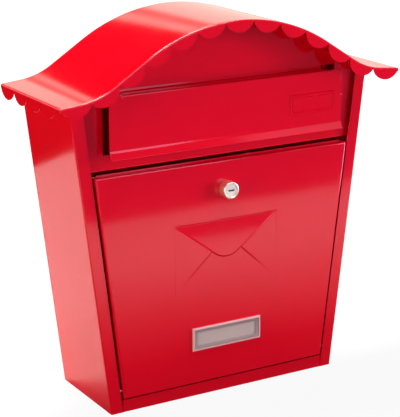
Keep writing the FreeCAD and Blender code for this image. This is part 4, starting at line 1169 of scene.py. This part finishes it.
for side, hand in HANDS:
    bracket_low, bracket_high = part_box(f"flap_bracket_{hand}")
    inner, outer = inner_outer(side, bracket_low, bracket_high)
    foot_low = bracket_high.z - BRACKET_FOOT_TALL
    welded = bracket_high.y - BRACKET_GAUGE
    eye = Vector((outer, rod_middle.y, rod_middle.z))
    turns = [math.pi * (i / EYE_STEPS - 0.5) for i in range(EYE_STEPS + 1)]
    nose = [eye + Vector((0, -math.cos(turn), math.sin(turn))) * EYE for turn in turns]
    rear = [
        (outer, welded, eye.z + EYE), (outer, welded, bracket_high.z),
        (outer, bracket_high.y, bracket_high.z), (outer, bracket_high.y, foot_low),
        (outer, bracket_high.y, eye.z - EYE),
    ]
    bracket = bmesh.new()
    plate = face_of(bracket, nose + rear)
    bend = edges_where(
        bracket, lambda v: is_near(v.co.y, bracket_high.y) and v.co.z > foot_low - TOUCH,
    )
    for vert in extrude_edges(bracket, bend):
        vert.co.x = inner
    face_towards(bracket, plate, ACROSS * side)
    fold(bracket, bend, BRACKET_BEND, 3)
    make_sheet(f"rod_bracket_{hand}", bracket, "box", [f"flap_bracket_{hand}"], BRACKET_GAUGE)

# %% [markdown]
# The lock's housing has a proud head whose raised rim stands round the plug. The barrel passes
# through the door and has a fine thread for its nut, drawn here as rings.

# %% Lock housing
lock_low, lock_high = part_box("lock_body")
LOCK_FRONT, BARREL_BACK = lock_low.y, lock_high.y
HEAD, BARREL, BORE = 9.15 * MM, 8.0 * MM, 6.1 * MM
RIM_WIDTH, RIM_DEPTH = 1.5 * MM, 0.6 * MM
THREAD_START, THREAD_PITCH, THREAD_DEPTH = 1.5 * MM, 1.5 * MM, 0.55 * MM
lock_axis = UP * LOCK_UP
lock_face = LOCK_FRONT + RIM_DEPTH
rim = HEAD - RIM_WIDTH

profile = [
    (BORE, lock_face + CHAMFER), (BORE + CHAMFER, lock_face), (rim - 0.35 * MM, lock_face),
    (rim, lock_face - 0.3 * MM), (rim + 0.1 * MM, LOCK_FRONT + 0.15 * MM),
    (rim + 0.3 * MM, LOCK_FRONT), (HEAD - 0.9 * MM, LOCK_FRONT),
    (HEAD - 0.5 * MM, LOCK_FRONT + 0.12 * MM),
    (HEAD - 0.15 * MM, LOCK_FRONT + 0.45 * MM), (HEAD, LOCK_FRONT + 0.9 * MM),
    (HEAD, DOOR_FACE - 0.25 * MM), (HEAD - 0.2 * MM, DOOR_FACE), (BARREL, DOOR_FACE),
]
crest = DOOR_FACE + THREAD_START
while crest < BARREL_BACK - THREAD_PITCH:
    profile += [(BARREL, crest), (BARREL - THREAD_DEPTH, crest + THREAD_PITCH / 2)]
    crest += THREAD_PITCH
profile += [(BARREL, crest), (BARREL - 0.5 * MM, BARREL_BACK), (BORE, BARREL_BACK), profile[0]]
housing = bmesh.new()
spin_profile(housing, profile, lock_axis)
make_piece("lock_housing", housing, "door_leaf", nickel, ["lock_body"], edge_round=0)

# %% [markdown]
# The plug has a keyway that is waisted in the middle, as warded keyways are. Its face is cut by
# planes, the waist is drawn in, and the opening is sunk. The square tail for the cam is cut from
# its back in the same way, and pushed out.

# %% Lock plug
plug_low, plug_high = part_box("lock_plug")
PLUG, KEY_HALF, KEY_RISE, KEY_WAIST, KEY_DEPTH = 6.0 * MM, 3.5 * MM, 1.1 * MM, 0.65 * MM, 13.5 * MM
TAIL_HALF, TAIL_LONG = 3.5 * MM, 2.0 * MM
SAME_FLAT = math.radians(1)
plug_back = plug_high.y - TAIL_LONG


def sink(bm, faces, depth):
    """Push faces along y, and leave walls round them."""
    sunk = bmesh.ops.extrude_face_region(bm, geom=faces)["geom"]
    drop_faces(bm, faces)
    bmesh.ops.translate(bm, verts=only(BMVert, sunk), vec=DEEP * depth)


def cut_tail_square(bm, middle):
    """Cut the tail's square into the flat faces that a point on the lock's axis lies in."""
    cut_flat(bm, middle, DEEP, ACROSS, (-TAIL_HALF, TAIL_HALF))
    cut_flat(bm, middle, DEEP, UP, (LOCK_UP - TAIL_HALF, LOCK_UP + TAIL_HALF))


plug = bmesh.new()
profile = [
    (0.0, plug_low.y), (PLUG - 0.25 * MM, plug_low.y), (PLUG, plug_low.y + 0.25 * MM),
    (PLUG, plug_back - CHAMFER), (PLUG - CHAMFER, plug_back), (0.0, plug_back),
]
spin_profile(plug, profile, lock_axis)
bmesh.ops.dissolve_limit(plug, angle_limit=SAME_FLAT, verts=plug.verts, edges=plug.edges)
face_at = Vector((0, plug_low.y, LOCK_UP))
cut_flat(plug, face_at, DEEP, ACROSS, (-KEY_HALF, 0, KEY_HALF))
cut_flat(plug, face_at, DEEP, UP, (LOCK_UP - KEY_RISE, LOCK_UP + KEY_RISE))
keyway = faces_where(
    faces_in_plane(plug, face_at, DEEP),
    lambda at: abs(at.x) < KEY_HALF and abs(at.z - LOCK_UP) < KEY_RISE,
)
for vert in {v for face in keyway for v in face.verts}:
    if is_near(vert.co.x, 0):
        vert.co.z = LOCK_UP + math.copysign(KEY_WAIST, vert.co.z - LOCK_UP)
sink(plug, keyway, KEY_DEPTH)
back_at = Vector((0, plug_back, LOCK_UP))
cut_tail_square(plug, back_at)
sink(plug, [nearest_face(plug, back_at)], TAIL_LONG)
bmesh.ops.recalc_face_normals(plug, faces=plug.faces)
make_piece("lock_core_plug", plug, "lock_core", nickel, ["lock_plug"], edge_round=0.1 * MM)

# %% [markdown]
# Behind the door a hexagon nut holds the housing. It is made as it is in the factory: a round
# blank is turned with a chamfer on both faces, and six flats are then milled off it. Each flat is
# a cut by a plane that clears what lies outside, and the opening is closed again.

# %% Lock nut
nut_low, nut_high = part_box("lock_nut")
NUT_FLAT, NUT_CORNER = 10.0 * MM, 11.5 * MM
NUT_FACE, NUT_CHAMFER = 9.6 * MM, 0.6 * MM

nut = bmesh.new()
profile = [
    (BARREL, nut_low.y), (NUT_FACE, nut_low.y), (NUT_CORNER, nut_low.y + NUT_CHAMFER),
    (NUT_CORNER, nut_high.y - NUT_CHAMFER), (NUT_FACE, nut_high.y), (BARREL, nut_high.y),
    (BARREL, nut_low.y),
]
spin_profile(nut, profile, lock_axis)
for turn in range(30, 360, 60):
    facing = Vector((math.cos(math.radians(turn)), 0, math.sin(math.radians(turn))))
    milled = bmesh.ops.bisect_plane(
        nut, geom=nut.verts[:] + nut.edges[:] + nut.faces[:], dist=CUT_SNAP,
        plane_co=lock_axis + facing * NUT_FLAT, plane_no=facing, clear_outer=True,
    )["geom_cut"]
    bmesh.ops.contextual_create(nut, geom=only(BMEdge, milled))
bmesh.ops.recalc_face_normals(nut, faces=nut.faces)
make_piece("hexagon_nut", nut, "door_leaf", zinc, ["lock_nut"], edge_round=0)

# %% [markdown]
# The cam is stamped from flat strip: a disc round the plug's square tail and an arm with a round
# end. One circle gives both, because half of it is moved out to the arm's end.

# %% Cam
cam_low, cam_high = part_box("lock_cam")
CAM_STEPS = 50

cam = bmesh.new()
flat_on = Matrix.Translation((0, cam_high.y, LOCK_UP)) @ Matrix.Rotation(math.pi / 2, 4, "X")
bmesh.ops.create_circle(cam, cap_ends=True, radius=-cam_low.x, segments=CAM_STEPS, matrix=flat_on)
for vert in cam.verts:
    if vert.co.x > 0:
        vert.co.x += cam_high.x + cam_low.x
cam_middle = Vector((0, cam_high.y, LOCK_UP))
cut_tail_square(cam, cam_middle)
drop_faces(cam, [nearest_face(cam, cam_middle)])
extrude_faces(cam, cam.faces[:], (0, cam_low.y - cam_high.y, 0))
make_piece("lock_cam_arm", cam, "lock_core", zinc, ["lock_cam"])

# %% [markdown]
# A screw with a rounded head holds the cam on the tail. It is turned as well, and then the recess
# for a cross driver is sunk into its head.

# %% Cam screw
screw_low, screw_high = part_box("cam_screw")
SCREW, SCREW_HEAD, HEAD_TALL = 2.0 * MM, 4.5 * MM, 2.8 * MM
RECESS_HALF, RECESS_LONG, RECESS_DEPTH = 0.5 * MM, 2.1 * MM, 1.4 * MM
seat = screw_high.y - HEAD_TALL

screw = bmesh.new()
profile = [
    (0.0, screw_low.y), (SCREW - CHAMFER, screw_low.y), (SCREW, screw_low.y + CHAMFER),
    (SCREW, seat), (SCREW_HEAD, seat), (SCREW_HEAD, seat + 1.3 * MM), (4.2 * MM, seat + 2.0 * MM),
    (3.5 * MM, seat + 2.5 * MM), (2.6 * MM, screw_high.y), (0.0, screw_high.y),
]
spin_profile(screw, profile, lock_axis)
bmesh.ops.dissolve_limit(screw, angle_limit=SAME_FLAT, verts=screw.verts, edges=screw.edges)
head_top = Vector((0, screw_high.y, LOCK_UP))
for reach in (-RECESS_LONG, -RECESS_HALF, RECESS_HALF, RECESS_LONG):
    cut_flat(screw, head_top, DEEP, ACROSS, [reach])
    cut_flat(screw, head_top, DEEP, UP, [LOCK_UP + reach])


def in_recess(at):
    near, far = sorted((abs(at.x), abs(at.z - LOCK_UP)))
    return near < RECESS_HALF and far < RECESS_LONG


sink(screw, faces_where(faces_in_plane(screw, head_top, DEEP), in_recess), -RECESS_DEPTH)
bmesh.ops.recalc_face_normals(screw, faces=screw.faces)
make_piece("cross_head_screw", screw, "lock_core", zinc, ["cam_screw"], edge_round=TIGHT_ROUND)

# %% [markdown]
# The name holder is a moulded frame round a thin window. The frame is a block with a bevelled
# front. Its middle is cut out, and the sloping wall and the pane are pieces of their own, because
# each of them lets light through in its own way, and the wall's brownish grey is painted shade.
# Two studs on its back snap through the door.

# %% Name holder
NAME_BEVEL, NAME_RIM, NAME_THICK = 0.9 * MM, 2.7 * MM, 2.4 * MM
WALL_SLOPE, PANE_FRONT, PANE_THICK = 2.8 * MM, 1.5 * MM, 0.8 * MM
STUD, STUD_LONG, STUD_STEPS = 1.2 * MM, 3.0 * MM, 24
name_face = DOOR_FACE - NAME_THICK


def name_rectangle(bm, inset, y):
    """A flat face with the holder's outline, less an inset."""
    left, right = name_low.x + inset, name_high.x - inset
    low, high = name_low.z + inset, name_high.z - inset
    return face_of(bm, [(left, y, low), (right, y, low), (right, y, high), (left, y, high)])


holder = bmesh.new()
extrude_faces(holder, [name_rectangle(holder, 0, DOOR_FACE)], (0, -NAME_THICK, 0))
fold(holder, edges_where(holder, lambda vert: is_near(vert.co.y, name_face)), NAME_BEVEL, 1)
front, back = [nearest_face(holder, Vector((0, y, name_up))) for y in (name_face, DOOR_FACE)]
bmesh.ops.inset_region(holder, faces=[front], thickness=NAME_RIM - NAME_BEVEL)
bmesh.ops.inset_region(holder, faces=[back], thickness=NAME_RIM)
rings = [*front.edges, *back.edges]
drop_faces(holder, [front, back])
bmesh.ops.bridge_loops(holder, edges=rings)
stud = [
    (0.0, STUD_LONG), (STUD - CHAMFER, STUD_LONG), (STUD, STUD_LONG - CHAMFER),
    (STUD, 0.0), (0.0, 0.0),
]
for side in (-1, 1):
    spin_profile(holder, stud, (side * STUD_ACROSS, DOOR_FACE, name_up), steps=STUD_STEPS)
# The rim's pink finish is painted light from the red door, over a milky plastic.
make_piece("name_holder", holder, "door_leaf", rim_painted_door_glow, ["name_frame"], edge_round=0.15 * MM)

# %% [markdown]
# The wall of the window slopes from the rim down to the pane. It is a ring of four faces, the
# edge of an inset rectangle, with a thickness of its own. The pane is a thin plate behind it.

# %% Window wall and pane
WALL_STEP, WALL_THICK = 0.2 * MM, 0.3 * MM

wall = bmesh.new()
opening = name_rectangle(wall, NAME_RIM, name_face + WALL_STEP)
wall.normal_update()
bmesh.ops.inset_region(
    wall, faces=[opening], thickness=WALL_SLOPE, use_boundary=True, use_even_offset=True,
)
for vert in opening.verts:
    vert.co.y = DOOR_FACE - PANE_FRONT
drop_faces(wall, [opening])
face_towards(wall, lowest_face(wall), -DEEP)
bmesh.ops.solidify(wall, geom=wall.faces[:], thickness=WALL_THICK)
# Its brownish grey finish is painted shade, for the shadow seen through the clear wall.
make_piece("name_window_wall", wall, "door_leaf", wall_painted_shade, ["name_frame"], edge_round=0)

pane = bmesh.new()
pane_back = name_rectangle(pane, NAME_RIM, DOOR_FACE - PANE_FRONT + PANE_THICK)
extrude_faces(pane, [pane_back], (0, -PANE_THICK, 0))
make_piece("name_pane", pane, "door_leaf", clear_pane, ["name_frame"], edge_round=0.05 * MM)

# %% [markdown]
# Behind the pane lies a blank slip of card, cut a little smaller than the holder's pocket.

# %% Name card
card_low, card_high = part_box("name_card")
slip = bmesh.new()
bmesh.ops.create_cube(slip, size=1.0)
bmesh.ops.scale(slip, verts=slip.verts, vec=card_high - card_low)
bmesh.ops.translate(slip, verts=slip.verts, vec=(card_low + card_high) / 2)
make_piece("blank_card", slip, "door_leaf", card, ["name_card"], edge_round=0.05 * MM)

# %% [markdown]
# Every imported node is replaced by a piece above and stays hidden. The nodes still get the finish
# of the first piece that stands for them, so that either model can be shown.

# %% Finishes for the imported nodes
for name, material in finish_of.items():
    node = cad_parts[name]
    node.data.materials.clear()
    node.data.materials.append(material)
print(len(finish_of), "packed nodes have a finish")
